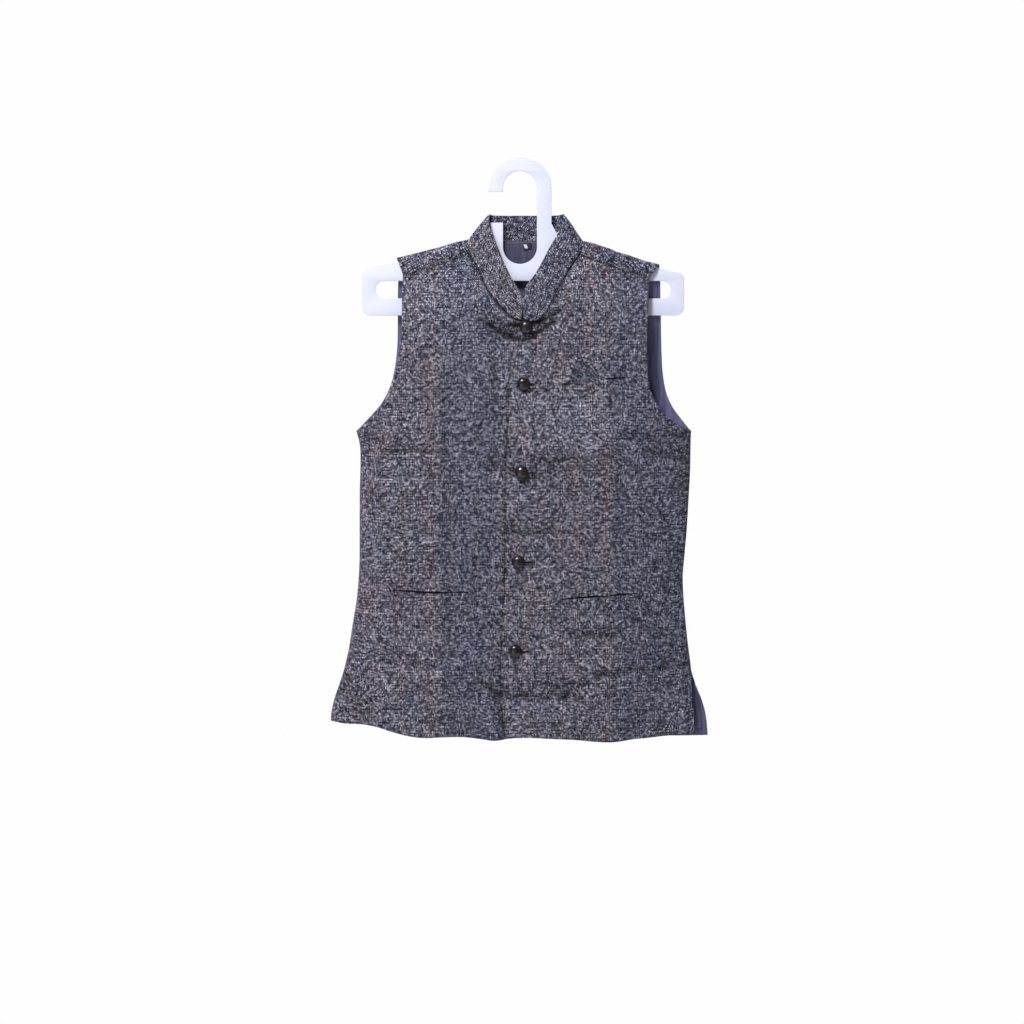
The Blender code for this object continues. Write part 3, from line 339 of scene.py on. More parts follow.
def ripple(x, z, seed, scale, size):
    """Smooth uneven ripple, the same each run."""
    rng = np.random.default_rng(seed)
    total = np.zeros(np.broadcast(x, z).shape)
    for _ in range(9):
        angle, phase = rng.uniform(0, math.pi), rng.uniform(0, 2 * math.pi)
        wave = 2 * math.pi / (scale * rng.uniform(0.6, 1.7))
        total += np.sin(wave * (x * math.cos(angle) + z * math.sin(angle)) + phase)
    return size * total / 3.0


def side_reach(x, z):
    low = np.minimum(z, -377.0)
    right, left = table(SIDE_RIGHT, 0, 1, low), table(SIDE_LEFT, 0, 1, low)
    across = np.abs(2 * x - right - left) / (left - right)
    return np.sqrt(1 - np.clip(across, 0, 1) ** SIDE_POWER)


def ridge_reach(x, z):
    drop = np.maximum(table(RIDGE, 0, 1, x) - z, 0.0)
    return np.sqrt(1 - (1 - np.clip(drop / RIDGE_ROUND, 0, 1)) ** 2), drop


def depth(x, z, shoulder, column, folds, creases, seed):
    reach, drop = ridge_reach(x, z)
    side = side_reach(x, z)
    full = shoulder + (table(DEPTHS, 0, column, z) - shoulder) * ease(drop / SHOULDER_RUN)
    calm = ease(side / 0.45) * ease((drop - 25.0) / 40.0)
    fine = folds_at(folds, creases, x, z)
    if seed:
        fine = fine + ripple(x, z, seed, 60.0, 0.45) + ripple(x, z, seed + 1, 24.0, 0.10)
    return side * reach * full + calm * fine


def depth_front(x, z, lips=True):
    y = depth(x, z, SHOULDER_FRONT, 1, FOLDS, CREASES, 11)
    return y


def depth_back(x, z):
    return depth(x, z, SHOULDER_BACK, 2, BACK_FOLDS, BACK_CREASES, 31)


def lap_lift(x):
    return LAP_LIFT * (1 - ease((x - LAP_INNER) / (LAP_OUTER - LAP_INNER)))


def vent_gap(z):
    return SEAM / 2 + VENT_OPEN * ease((VENT_TOP - z) / 80.0)


def join(first, second, where, knot):
    inside = along(first, np.clip(where / knot, 0, 1))
    after = along(second, np.clip((where - knot) / (1 - knot), 0, 1))
    return np.where((where <= knot)[..., None], inside, after)


def side_line(side, vent=None):
    return [(x + (smooth([r[0] for r in vent][::-1], [r[1] for r in vent][::-1], z) if vent else 0.0), z) for z, x in side]


def front_patch(u, v, right):
    if right:
        stations = COLLAR[: NECK_RIGHT + 1][::-1]
        arm, edge = ARM_FRONT_RIGHT, EDGE_RIGHT
        side = side_line(SIDE_RIGHT, [(z, -inset) for z, inset in VENT_RIGHT])
    else:
        stations = COLLAR[NECK_LEFT:]
        arm, edge = ARM_FRONT_LEFT, EDGE_LEFT
        side = side_line(SIDE_LEFT, VENT_LEFT)
    neck = []
    for _, bx, bz, tx, tz in stations:
        size = math.hypot(bx - tx, bz - tz)
        neck.append((bx + (bx - tx) / size * 2 * SEAM, bz + (bz - tz) / size * 2 * SEAM))
    inner, outer = join(neck, edge, v, NECK_KNOT), join(arm, side, v, ARM_KNOT)
    turn = ease((v - 0.2) / 0.17)
    c = u + (np.sin(u * math.pi / 2) - u) * turn
    x = inner[..., 0] + (outer[..., 0] - inner[..., 0]) * c
    z = inner[..., 1] + (outer[..., 1] - inner[..., 1]) * c
    foot = edge[-1][1] + (side[-1][1] - edge[-1][1]) * c
    z = z + (table(HEM_FRONT, 0, 1, x) - foot) * ease((v - 0.7) / 0.3)
    seam = along(SEAM_RIGHT if right else SEAM_LEFT, u) - (0.0, SEAM)
    lean = 1 - ease(v / 0.05)
    straight = along([neck[0], arm[0]], u)
    return x + (seam[..., 0] - straight[..., 0]) * lean, z + (seam[..., 1] - straight[..., 1]) * lean


def front_y(x, z, right):
    y = depth_front(x, z) + (0.0 if right else lap_lift(x))
    if not right:
        y = y + lips_at(x, z)
    return -y


def front_points(u, v, right):
    x, z = front_patch(u, v, right)
    y = np.minimum(front_y(x, z, right), 0.0)
    y = np.minimum(y, -np.where(z < -370, vent_gap(z), 0.0))
    return np.stack([x, y, z], -1)


def back_top(u):
    tip_r, tip_l = ARM_BACK_RIGHT[0], ARM_BACK_LEFT[0]
    rows = [tip_r] + [p for p in RIDGE if tip_r[0] < p[0] < COLLAR[NECK_RIDGE_R][1]]
    rows += [(row[1], row[2]) for row in COLLAR[NECK_RIDGE_R : NECK_RIDGE_L + 1]]
    rows += [p for p in RIDGE if COLLAR[NECK_RIDGE_L][1] < p[0] < tip_l[0]] + [tip_l]
    x = tip_r[0] + (tip_l[0] - tip_r[0]) * u
    inside = (x > COLLAR[NECK_RIDGE_R][1]) & (x < COLLAR[NECK_RIDGE_L][1])
    return x, np.interp(x, [p[0] for p in rows], [p[1] for p in rows]) - np.where(inside, 2 * SEAM, 0.0)


def back_patch(u, v):
    right = join(ARM_BACK_RIGHT, side_line(SIDE_RIGHT), v, ARM_KNOT)
    left = join(ARM_BACK_LEFT, side_line(SIDE_LEFT), v, ARM_KNOT)
    turn = ease((v - 0.15) / 0.2)
    c = u + ((1 - np.cos(u * math.pi)) / 2 - u) * turn
    x = right[..., 0] + (left[..., 0] - right[..., 0]) * c
    z = right[..., 1] + (left[..., 1] - right[..., 1]) * c
    top_z = back_top(u)[1]
    level = ARM_BACK_RIGHT[0][1] + (ARM_BACK_LEFT[0][1] - ARM_BACK_RIGHT[0][1]) * u
    z = z + (top_z - level) * np.clip(1 - v / 0.34, 0, 1) ** 1.5
    foot = SIDE_RIGHT[-1][0] + (SIDE_LEFT[-1][0] - SIDE_RIGHT[-1][0]) * c
    return x, z + (table(HEM_BACK, 0, 1, x) - foot) * ease((v - 0.7) / 0.3)


# ---- meshes ------------------------------------------------------------------------
def grid_faces(rows, columns, start=0):
    i, j = np.meshgrid(np.arange(rows - 1), np.arange(columns - 1), indexing="ij")
    a = (start + i * columns + j).ravel()
    return np.stack([a, a + 1, a + columns + 1, a + columns], -1)


def quad_normals(points, faces):
    a, b, c, d = (points[faces[:, k]] for k in range(4))
    normal = np.cross(c - a, d - b)
    return normal / (np.linalg.norm(normal, axis=1)[:, None] + 1e-12)


def point_normals(points, faces):
    normal = quad_normals(points, faces)
    total = np.zeros_like(points)
    for k in range(4):
        np.add.at(total, faces[:, k], normal)
    return total / (np.linalg.norm(total, axis=1)[:, None] + 1e-12)


def shell(name, points, faces, uv, thick, mats, outward=None, shift=0.0, fixed=None, rim=2, inner_slot=1, swell=None, shade=None):
    """Closed thin shell round a surface, with rounded rims. UVs are metres of cloth."""
    points, faces = np.asarray(points, float), np.asarray(faces)
    if outward is not None and (quad_normals(points, faces) @ np.asarray(outward, float)).mean() < 0:
        faces = faces[:, ::-1]
    normal = point_normals(points, faces)
    if fixed is not None:
        normal[fixed[0]] = fixed[1]
    thick = np.broadcast_to(np.asarray(thick, float), (len(points),))[:, None]
    points = points + normal * np.broadcast_to(np.asarray(shift, float), (len(points),))[:, None]
    count = len(points)
    outer, inner = points + normal * thick / 2, points - normal * thick / 2
    if swell is not None:
        outer = outer + normal * swell[:, None]
    centre = points[faces].mean(1)
    lean, number = np.zeros_like(points), np.zeros(count)
    for k in range(4):
        np.add.at(lean, faces[:, k], centre)
        np.add.at(number, faces[:, k], 1)
    lean = points - lean / np.maximum(number, 1)[:, None]
    lean -= normal * (lean * normal).sum(1)[:, None]
    lean /= np.linalg.norm(lean, axis=1)[:, None] + 1e-12
    heads, tails = faces.ravel(), np.roll(faces, -1, axis=1).ravel()
    key, back = heads * (count + 1) + tails, tails * (count + 1) + heads
    free = ~np.isin(key, back)
    heads, tails = heads[free], tails[free]
    edge_points = np.unique(heads)
    slot_of = np.full(count, -1)
    slot_of[edge_points] = np.arange(len(edge_points))
    layers = [outer, inner]
    rims = []
    for k in range(1, rim + 1):
        angle = math.pi * k / (rim + 1)
        half = thick[edge_points] / 2
        rims.append(points[edge_points] + normal[edge_points] * half * math.cos(angle) + lean[edge_points] * half * 0.75 * math.sin(angle))
    all_points = np.concatenate(layers + rims)
    all_uv = np.concatenate([uv, uv] + [uv[edge_points]] * rim)
    quads = [faces, faces[:, ::-1] + count]
    slots = [np.zeros(len(faces), int), np.full(len(faces), inner_slot)]
    chain_h = [heads] + [2 * count + k * len(edge_points) + slot_of[heads] for k in range(rim)] + [heads + count]
    chain_t = [tails] + [2 * count + k * len(edge_points) + slot_of[tails] for k in range(rim)] + [tails + count]
    for k in range(rim + 1):
        quads.append(np.stack([chain_t[k], chain_h[k], chain_h[k + 1], chain_t[k + 1]], -1))
        slots.append(np.zeros(len(heads), int))
    quads, slots = np.concatenate(quads), np.concatenate(slots)
    made = build(name, all_points, quads, all_uv, mats, slots)
    # Painted shade, and painted light where negative, stored for the cloth's colour.
    if shade is not None:
        deep = np.clip(np.concatenate([shade, np.zeros(count)] + [shade[edge_points]] * rim), -1.2, 0.97)
        made.data.attributes.new("shade", "FLOAT", "POINT").data.foreach_set("value", deep.astype(np.float32))
    return made


def build(name, points, faces, uv, mats, slots=None, sharp=None):
    faces = [tuple(map(int, face)) for face in faces]
    mesh = bpy.data.meshes.new(name)
    mesh.from_pydata((np.asarray(points) * MM).tolist(), [], faces)
    mesh.update()
    if uv is not None:
        layer = mesh.uv_layers.new(name="cloth")
        index = np.empty(len(mesh.loops), np.int32)
        mesh.loops.foreach_get("vertex_index", index)
        layer.uv.foreach_set("vector", (np.asarray(uv)[index] * MM).astype(np.float32).ravel())
    for mat in mats:
        mesh.materials.append(mat)
    if slots is not None:
        mesh.polygons.foreach_set("material_index", np.minimum(slots, len(mats) - 1).astype(np.int32))
    mesh.shade_smooth()
    if sharp:
        mesh.set_sharp_from_angle(angle=math.radians(sharp))
    made = bpy.data.objects.new(name, mesh)
    bpy.context.scene.collection.objects.link(made)
    return made


def cloth_uv(grid):
    """Metres of cloth across and down a grid of points, from its middle column and top row."""
    rows, columns = grid.shape[:2]
    across = np.linalg.norm(np.diff(grid, axis=1), axis=2)
    flat = np.abs(np.diff(grid[..., 0], axis=1)) + 1e-9
    down = np.linalg.norm(np.diff(grid, axis=0), axis=2)
    drop = np.abs(np.diff(grid[..., 2], axis=0)) + 1e-9
    # Extra cloth over the straight distance, summed along rows and columns.
    extra_x = np.concatenate([np.zeros((rows, 1)), np.cumsum(np.hypot(np.diff(grid[..., 0], axis=1), np.diff(grid[..., 1], axis=1)) - np.abs(np.diff(grid[..., 0], axis=1)), axis=1)], axis=1)
    extra_z = np.concatenate([np.zeros((1, columns)), np.cumsum(np.hypot(np.diff(grid[..., 2], axis=0), np.diff(grid[..., 1], axis=0)) - np.abs(np.diff(grid[..., 2], axis=0)), axis=0)], axis=0)
    sign = 1.0 if grid[0, -1, 0] > grid[0, 0, 0] else -1.0
    return np.stack([grid[..., 0] + sign * (extra_x - extra_x[:, :1]), grid[..., 2] - extra_z], -1)


# ---- materials ---------------------------------------------------------------------
class Nodes:
    """Short hand for wiring one material."""

    def __init__(self, name):
        self.mat = bpy.data.materials.new(name)
        self.mat.use_nodes = True
        self.tree = self.mat.node_tree
        self.shader = self.tree.nodes["Principled BSDF"]
        self.count = 0

    def node(self, kind, **props):
        made = self.tree.nodes.new(kind)
        self.count += 1
        made.location = (-250 * (self.count % 12) - 300, -180 * (self.count // 12))
        for key, value in props.items():
            setattr(made, key, value)
        return made

    def put(self, socket, value):
        if hasattr(value, "is_output"):
            self.tree.links.new(value, socket)
        elif value is not None:
            socket.default_value = value

    def math(self, operation, a, b=None, c=None, clamp=False):
        made = self.node("ShaderNodeMath", operation=operation, use_clamp=clamp)
        for socket, value in zip(made.inputs, (a, b, c)):
            self.put(socket, value)
        return made.outputs[0]

    def noise(self, vector=None, w=None, scale=1.0, detail=1.0, rough=0.5, dims="2D"):
        made = self.node("ShaderNodeTexNoise", noise_dimensions=dims)
        if vector is not None:
            self.put(made.inputs["Vector"], vector)
        if w is not None:
            self.put(made.inputs["W"], w)
        self.put(made.inputs["Scale"], scale)
        self.put(made.inputs["Detail"], detail)
        self.put(made.inputs["Roughness"], rough)
        return made.outputs["Factor" if "Factor" in made.outputs else 0]

    def white(self, vector=None, dims="2D"):
        made = self.node("ShaderNodeTexWhiteNoise", noise_dimensions=dims)
        if dims == "1D":
            self.put(made.inputs["W"], vector)
        else:
            self.put(made.inputs["Vector"], vector)
        return made.outputs["Value"]

    def xy(self, x, y, z=0.0):
        made = self.node("ShaderNodeCombineXYZ")
        for socket, value in zip(made.inputs, (x, y, z)):
            self.put(socket, value)
        return made.outputs[0]

    def mix(self, factor, a, b, blend="MIX"):
        made = self.node("ShaderNodeMix", data_type="RGBA", blend_type=blend)
        self.put(made.inputs[0], factor)
        self.put(made.inputs[6], a)
        self.put(made.inputs[7], b)
        return made.outputs[2]

    def span(self, value, low, high, to_low=0.0, to_high=1.0):
        made = self.node("ShaderNodeMapRange")
        for key, item in (("Value", value), ("From Min", low), ("From Max", high), ("To Min", to_low), ("To Max", to_high)):
            self.put(made.inputs[key], item)
        return made.outputs[0]

    def bump(self, height, strength, distance):
        made = self.node("ShaderNodeBump")
        self.put(made.inputs["Strength"], strength)
        self.put(made.inputs["Distance"], distance)
        self.put(made.inputs["Height"], height)
        self.put(self.shader.inputs["Normal"], made.outputs[0])

    def set(self, **values):
        for key, value in values.items():
            self.put(self.shader.inputs[key.replace("_", " ")], value)


def rgb(r, g, b):
    return (r, g, b, 1.0)


WARP_PITCH, WEFT_PITCH = 1.55, 1.90  # mm


def melange(name, gain=1.0, warmth=0.0, turn=0.0):
    """Plain weave of slubby pale grey weft over dark navy warp."""
    n = Nodes(name)
    uv = n.node("ShaderNodeUVMap", uv_map="cloth").outputs[0]
    split = n.node("ShaderNodeSeparateXYZ")
    n.put(split.inputs[0], uv)
    x, y = n.math("MULTIPLY", split.outputs[0], 1000.0), n.math("MULTIPLY", split.outputs[1], 1000.0)
    if turn:
        c, s = math.cos(math.radians(turn)), math.sin(math.radians(turn))
        x, y = (
            n.math("ADD", n.math("MULTIPLY", x, c), n.math("MULTIPLY", y, -s)),
            n.math("ADD", n.math("MULTIPLY", x, s), n.math("MULTIPLY", y, c)),
        )
    # Yarns wander a little.
    wander_y = n.noise(n.xy(n.math("MULTIPLY", x, 0.030), n.math("MULTIPLY", y, 0.05)), scale=1.0, detail=2.0)
    wander_x = n.noise(n.xy(n.math("MULTIPLY", x, 0.05), n.math("MULTIPLY", y, 0.028), 7.0), scale=1.0, detail=2.0, dims="3D")
    wy = n.math("ADD", y, n.math("MULTIPLY", n.math("SUBTRACT", wander_y, 0.5), 0.6))
    wx = n.math("ADD", x, n.math("MULTIPLY", n.math("SUBTRACT", wander_x, 0.5), 0.7))
    row, column = n.math("DIVIDE", wy, WEFT_PITCH), n.math("DIVIDE", wx, WARP_PITCH)
    j, i = n.math("FLOOR", row), n.math("FLOOR", column)
    fj, fi = n.math("FRACT", row), n.math("FRACT", column)
    parity = n.math("PINGPONG", n.math("ADD", i, j), 1.0)
    cell = n.white(n.xy(i, j))
    flip = n.math("LESS_THAN", cell, 0.035)
    weft_up = n.math("ABSOLUTE", n.math("SUBTRACT", parity, flip))
    # Weft: pale, alternate picks darker, slubs along it.
    pick = n.math("PINGPONG", j, 1.0)
    weft_one = n.white(j, dims="1D")
    slub = n.noise(n.xy(n.math("MULTIPLY", x, 0.13), n.math("MULTIPLY", j, 3.71)), scale=1.0, detail=2.0, rough=0.6)
    long_slub = n.noise(n.xy(n.math("MULTIPLY", x, 0.035), n.math("MULTIPLY", j, 1.31), 3.0), scale=1.0, detail=1.0, dims="3D")
    weft_light = n.math("ADD", n.math("MULTIPLY", pick, 0.30), n.math("MULTIPLY", weft_one, 0.12))
    weft_light = n.math("ADD", weft_light, n.span(slub, 0.40, 0.60, -0.10, 0.62))
    weft_light = n.math("ADD", weft_light, n.span(long_slub, 0.35, 0.65, 0.0, 0.12))
    # Warp: navy, some pale lengths.
    warp_one = n.white(n.math("ADD", i, 0.37), dims="1D")
    warp_slub = n.noise(n.xy(n.math("MULTIPLY", i, 2.93), n.math("MULTIPLY", y, 0.11), 5.0), scale=1.0, detail=2.0, rough=0.6, dims="3D")
    warp_light = n.math("ADD", n.math("MULTIPLY", warp_one, 0.03), n.span(warp_slub, 0.52, 0.66, 0.0, 0.78))
    light = n.math("ADD", n.math("MULTIPLY", weft_light, weft_up), n.math("MULTIPLY", warp_light, n.math("SUBTRACT", 1.0, weft_up)))
    chance = n.math("POWER", n.white(n.xy(j, i, 0.0)), 1.6)
    light = n.math("MULTIPLY", light, n.math("ADD", 0.26, n.math("MULTIPLY", chance, 1.55)))
    fibre = n.noise(n.xy(n.math("MULTIPLY", x, 2.3), n.math("MULTIPLY", y, 2.3)), scale=1.0, detail=2.0)
    light = n.math("MULTIPLY", light, n.span(fibre, 0.3, 0.7, 0.75, 1.25))
    light = n.math("MULTIPLY", n.math("MAXIMUM", light, 0.0), gain)
    # Round yarns: painted shade darkens the gaps between them.
    across_row = n.math("SUBTRACT", 1.0, n.math("POWER", n.math("ABSOLUTE", n.math("SUBTRACT", n.math("MULTIPLY", fj, 2.0), 1.0)), 3.0))
    across_col = n.math("SUBTRACT", 1.0, n.math("POWER", n.math("ABSOLUTE", n.math("SUBTRACT", n.math("MULTIPLY", fi, 2.0), 1.0)), 3.0))
    round_off = n.math("ADD", n.math("MULTIPLY", across_row, weft_up), n.math("MULTIPLY", across_col, n.math("SUBTRACT", 1.0, weft_up)))
    gap = n.math("ADD", 0.32, n.math("MULTIPLY", round_off, 0.68))
    # Broad drifts of dye: blue, plum and brown.
    drift = n.noise(n.xy(n.math("MULTIPLY", x, 0.055), n.math("MULTIPLY", y, 0.012), 11.0), scale=1.0, detail=2.0, dims="3D")
    spot = n.noise(n.xy(n.math("MULTIPLY", x, 0.16), n.math("MULTIPLY", y, 0.10), 17.0), scale=1.0, detail=1.0, dims="3D")
    worn = n.math("SUBTRACT", 1.0, n.math("DIVIDE", n.math("ABSOLUTE", n.math("SUBTRACT", n.math("ABSOLUTE", x), 126.0)), 11.0), clamp=True)
    brown = n.math("ADD", n.span(drift, 0.52, 0.70, 0.0, 0.40), n.span(spot, 0.62, 0.76, 0.0, 0.45), clamp=True)
    brown = n.math("ADD", brown, n.math("MULTIPLY", worn, n.span(drift, 0.40, 0.55, 0.1, 0.5)), clamp=True)
    blue = n.span(drift, 0.48, 0.34, 0.0, 0.45)
    # Panels between the pressed lines differ a little: bluer in tint, and darker with painted shade.
    far = n.math("ADD", x, n.math("MULTIPLY", n.math("SUBTRACT", n.noise(n.xy(n.math("MULTIPLY", x, 0.02), n.math("MULTIPLY", y, 0.02), 31.0), dims="3D"), 0.5), 26.0))
    panel_a = n.math("MULTIPLY", n.span(far, -120.0, -104.0), n.span(far, -22.0, -40.0))
    panel_b = n.span(far, 122.0, 142.0)
    panel_tint_and_shade = n.math("MAXIMUM", panel_a, panel_b)
    blue = n.math("ADD", blue, n.math("MULTIPLY", panel_tint_and_shade, 0.55), clamp=True)
    brown = n.math("MULTIPLY", brown, n.math("SUBTRACT", 1.0, n.math("MULTIPLY", panel_tint_and_shade, 0.7)))
    light = n.math("MULTIPLY", light, n.math("SUBTRACT", 0.575, n.math("MULTIPLY", panel_tint_and_shade, 0.08)))
    dark = n.mix(brown, rgb(0.0062, 0.0064, 0.0205), rgb(0.024, 0.012, 0.017))
    dark = n.mix(blue, dark, rgb(0.0070, 0.0080, 0.0290))
    pale = n.mix(brown, rgb(0.740 + warmth, 0.700, 0.850 - warmth), rgb(0.80, 0.66, 0.73))
    pale = n.mix(blue, pale, rgb(0.655, 0.69, 0.90))
    colour = n.mix(n.math("MINIMUM", light, 1.0), dark, pale)
    # Painted shade and painted light from the shade attribute darken or lighten the colour.
    deep = n.node("ShaderNodeAttribute", attribute_name="shade").outputs["Fac"]
    gap = n.math("MULTIPLY", gap, n.math("SUBTRACT", 1.0, deep))
    shaded = n.mix(1.0, colour, n.xy(gap, gap, gap), blend="MULTIPLY")
    n.set(Base_Color=shaded, Roughness=0.88, Metallic=0.0)
    n.set(Sheen_Weight=0.05, Sheen_Roughness=0.5, Specular_IOR_Level=0.2)
    height = n.math("ADD", round_off, n.math("MULTIPLY", fibre, 0.4))
    n.bump(n.math("ADD", height, n.math("MULTIPLY", weft_up, 0.4)), 0.4, 0.0005)
    return n.mat


def lining_cloth(name, pale=1.0):
    n = Nodes(name)
    uv = n.node("ShaderNodeUVMap", uv_map="cloth").outputs[0]
    split = n.node("ShaderNodeSeparateXYZ")
    n.put(split.inputs[0], uv)
    x, y = n.math("MULTIPLY", split.outputs[0], 1000.0), n.math("MULTIPLY", split.outputs[1], 1000.0)
    twill = n.math("FRACT", n.math("MULTIPLY", n.math("ADD", x, n.math("MULTIPLY", y, 1.25)), 1.6))
    fibre = n.noise(n.xy(n.math("MULTIPLY", x, 3.0), n.math("MULTIPLY", y, 0.7)), scale=1.0, detail=3.0)
    streak = n.noise(n.xy(n.math("MULTIPLY", x, 0.16), n.math("MULTIPLY", y, 0.018)), scale=1.0, detail=2.0)
    tone = n.math("ADD", n.span(streak, 0.3, 0.7, 0.65, 1.25), n.math("MULTIPLY", n.math("SUBTRACT", fibre, 0.5), 0.45))
    # Painted shade makes it darker at the neck, and painted light makes it paler at the armholes.
    place = n.node("ShaderNodeSeparateXYZ")
    n.put(place.inputs[0], n.node("ShaderNodeTexCoord").outputs["Object"])
    arm = n.math("MULTIPLY", n.span(n.math("ABSOLUTE", place.outputs[0]), 0.13, 0.16), n.span(place.outputs[2], -0.50, -0.43))
    tone = n.math("MULTIPLY", tone, n.math("ADD", n.span(place.outputs[2], -0.150, -0.125, 1.0, 0.62), n.math("MULTIPLY", arm, 0.75)))
    base = n.mix(n.math("MULTIPLY", tone, 0.5), rgb(0.006, 0.006, 0.013), rgb(0.125 * pale, 0.122 * pale, 0.245 * pale))
    n.set(Base_Color=base, Roughness=n.span(fibre, 0.3, 0.7, 0.48, 0.6), Metallic=0.0)
    n.set(Sheen_Weight=0.12, Sheen_Roughness=0.35, Specular_IOR_Level=0.4)
    n.bump(n.math("ADD", twill, fibre), 0.12, 0.0003)
    return n.mat


def thread(name, colour, light):
    n = Nodes(name)
    place = n.node("ShaderNodeTexCoord").outputs["Object"]
    twist = n.node("ShaderNodeTexWave", wave_type="BANDS", bands_direction="DIAGONAL")
    n.put(twist.inputs["Vector"], place)
    n.put(twist.inputs["Scale"], 900.0)
    n.put(twist.inputs["Distortion"], 2.0)
    hair = n.noise(place, scale=2500.0, detail=2.0, dims="3D")
    n.set(Base_Color=n.mix(n.math("MULTIPLY", n.math("ADD", twist.outputs["Fac"], hair), 0.5), colour, light), Roughness=0.7)
    n.bump(twist.outputs["Fac"], 0.5, 0.0003)
    return n.mat


def polished(name):
    """Dark mottled button plastic."""
    n = Nodes(name)
    place = n.node("ShaderNodeTexCoord").outputs["Object"]
    cloud = n.noise(place, scale=85.0, detail=3.0, rough=0.6, dims="3D")
    vein = n.noise(place, scale=240.0, detail=4.0, rough=0.7, dims="3D")
    base = n.mix(n.span(cloud, 0.38, 0.62), rgb(0.0022, 0.0022, 0.0085), rgb(0.0135, 0.0075, 0.0080))
    base = n.mix(n.span(vein, 0.58, 0.75, 0.0, 0.6), base, rgb(0.026, 0.016, 0.021))
    n.set(Base_Color=base, Roughness=n.span(vein, 0.3, 0.7, 0.20, 0.34), Specular_IOR_Level=0.45)
    n.set(Coat_Weight=0.15, Coat_Roughness=0.1)
    n.bump(vein, 0.06, 0.0004)
    return n.mat


def sheet_plastic(name):
    """White sheet plastic of the hanger, faintly mottled and scuffed."""
    n = Nodes(name)
    place = n.node("ShaderNodeTexCoord").outputs["Object"]
    cloud = n.noise(place, scale=14.0, detail=3.0, dims="3D")
    grain = n.noise(place, scale=600.0, detail=2.0, dims="3D")
    base = n.mix(n.span(cloud, 0.35, 0.65), rgb(0.600, 0.618, 0.765), rgb(0.650, 0.668, 0.810))
    n.set(Base_Color=base, Roughness=n.span(cloud, 0.3, 0.7, 0.32, 0.46), Specular_IOR_Level=0.45)
    n.bump(grain, 0.08, 0.0003)
    return n.mat


def tab_cloth(name):
    """Small dark woven tab with one plain pale block."""
    n = Nodes(name)
    uv = n.node("ShaderNodeUVMap", uv_map="cloth").outputs[0]
    split = n.node("ShaderNodeSeparateXYZ")
    n.put(split.inputs[0], uv)
    x, y = n.math("MULTIPLY", split.outputs[0], 1000.0), n.math("MULTIPLY", split.outputs[1], 1000.0)
    dx = n.math("ABSOLUTE", n.math("SUBTRACT", n.math("ADD", x, n.math("MULTIPLY", n.math("SUBTRACT", y, TAB[1]), 0.4)), TAB[0] - 2.0))
    dy = n.math("ABSOLUTE", n.math("SUBTRACT", y, TAB[1] - 0.3))
    block = n.math("MULTIPLY", n.math("LESS_THAN", dx, 2.2), n.math("LESS_THAN", dy, 2.9))
    grain = n.noise(n.xy(n.math("MULTIPLY", x, 1.6), n.math("MULTIPLY", y, 1.6)), scale=1.0, detail=1.0)
    rib = n.math("FRACT", n.math("MULTIPLY", y, 2.2))
    pale = n.math("MULTIPLY", block, n.span(grain, 0.35, 0.6, 0.35, 1.0))
    n.set(Base_Color=n.mix(pale, rgb(0.012, 0.012, 0.026), rgb(0.80, 0.80, 0.82)), Roughness=0.75)
    n.bump(n.math("ADD", rib, grain), 0.25, 0.0002)
    return n.mat


CLOTH_MAT = melange("melange_cloth")
BAND_MAT = melange("melange_band", gain=1.04)
WELT_MAT = melange("melange_welt", gain=0.92)
SQUARE_MAT = melange("melange_square", gain=0.78, warmth=0.05, turn=38.0)
LINING_MAT = lining_cloth("lining_cloth")
THREAD_MAT = thread("thread_navy", rgb(0.006, 0.006, 0.012), rgb(0.030, 0.030, 0.050))
# Near-black material for painted shadow in openings: pocket mouths and buttonhole slits.
SHADOW_SLIT_MAT = thread("painted_shadow_slit", rgb(0.0008, 0.0008, 0.0016), rgb(0.003, 0.003, 0.005))
SHADOW_SLIT_MAT.node_tree.nodes["Principled BSDF"].inputs["Specular IOR Level"].default_value = 0.05
BUTTON_MAT = polished("button_plastic")
HANGER_MAT = sheet_plastic("hanger_plastic")
TAB_MAT = tab_cloth("tab_cloth")


def belongs(piece, *nodes, slot):
    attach(piece, "root")
    if nodes:
        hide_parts(*nodes)
    return piece


# ---- fronts ------------------------------------------------------------------------
def edge_swell(grid, sides):
    """Turned-in edges stand a little proud, and pucker unevenly along their length."""
    rows, columns = grid.shape[:2]
    total = np.zeros((rows, columns))
    for axis, last, size, width, seed in sides:
        line = grid[:, -1 if last else 0] if axis == 1 else grid[-1 if last else 0]
        steps = np.linalg.norm(np.diff(line, axis=0), axis=1)
        run = np.concatenate([[0.0], np.cumsum(steps)])
        gap = np.linalg.norm(np.diff(grid, axis=axis), axis=2)
        if axis == 1:
            away = np.concatenate([np.zeros((rows, 1)), np.cumsum(gap[:, ::-1] if last else gap, axis=1)], axis=1)
            away = away[:, ::-1] if last else away
            run = run[:, None]
        else:
            away = np.concatenate([np.zeros((1, columns)), np.cumsum(gap[::-1] if last else gap, axis=0)], axis=0)
            away = away[::-1] if last else away
            run = run[None, :]
        rng = np.random.default_rng(seed)
        wave = sum(np.sin(run * 2 * math.pi / rng.uniform(9, 26) + rng.uniform(0, 6.28)) for _ in range(5)) / 5
        total += size * (1 + 0.9 * wave) * np.exp(-((away / width) ** 2)) - 0.18 * np.exp(-(((away - width * 1.15) / 1.2) ** 2))
    return total


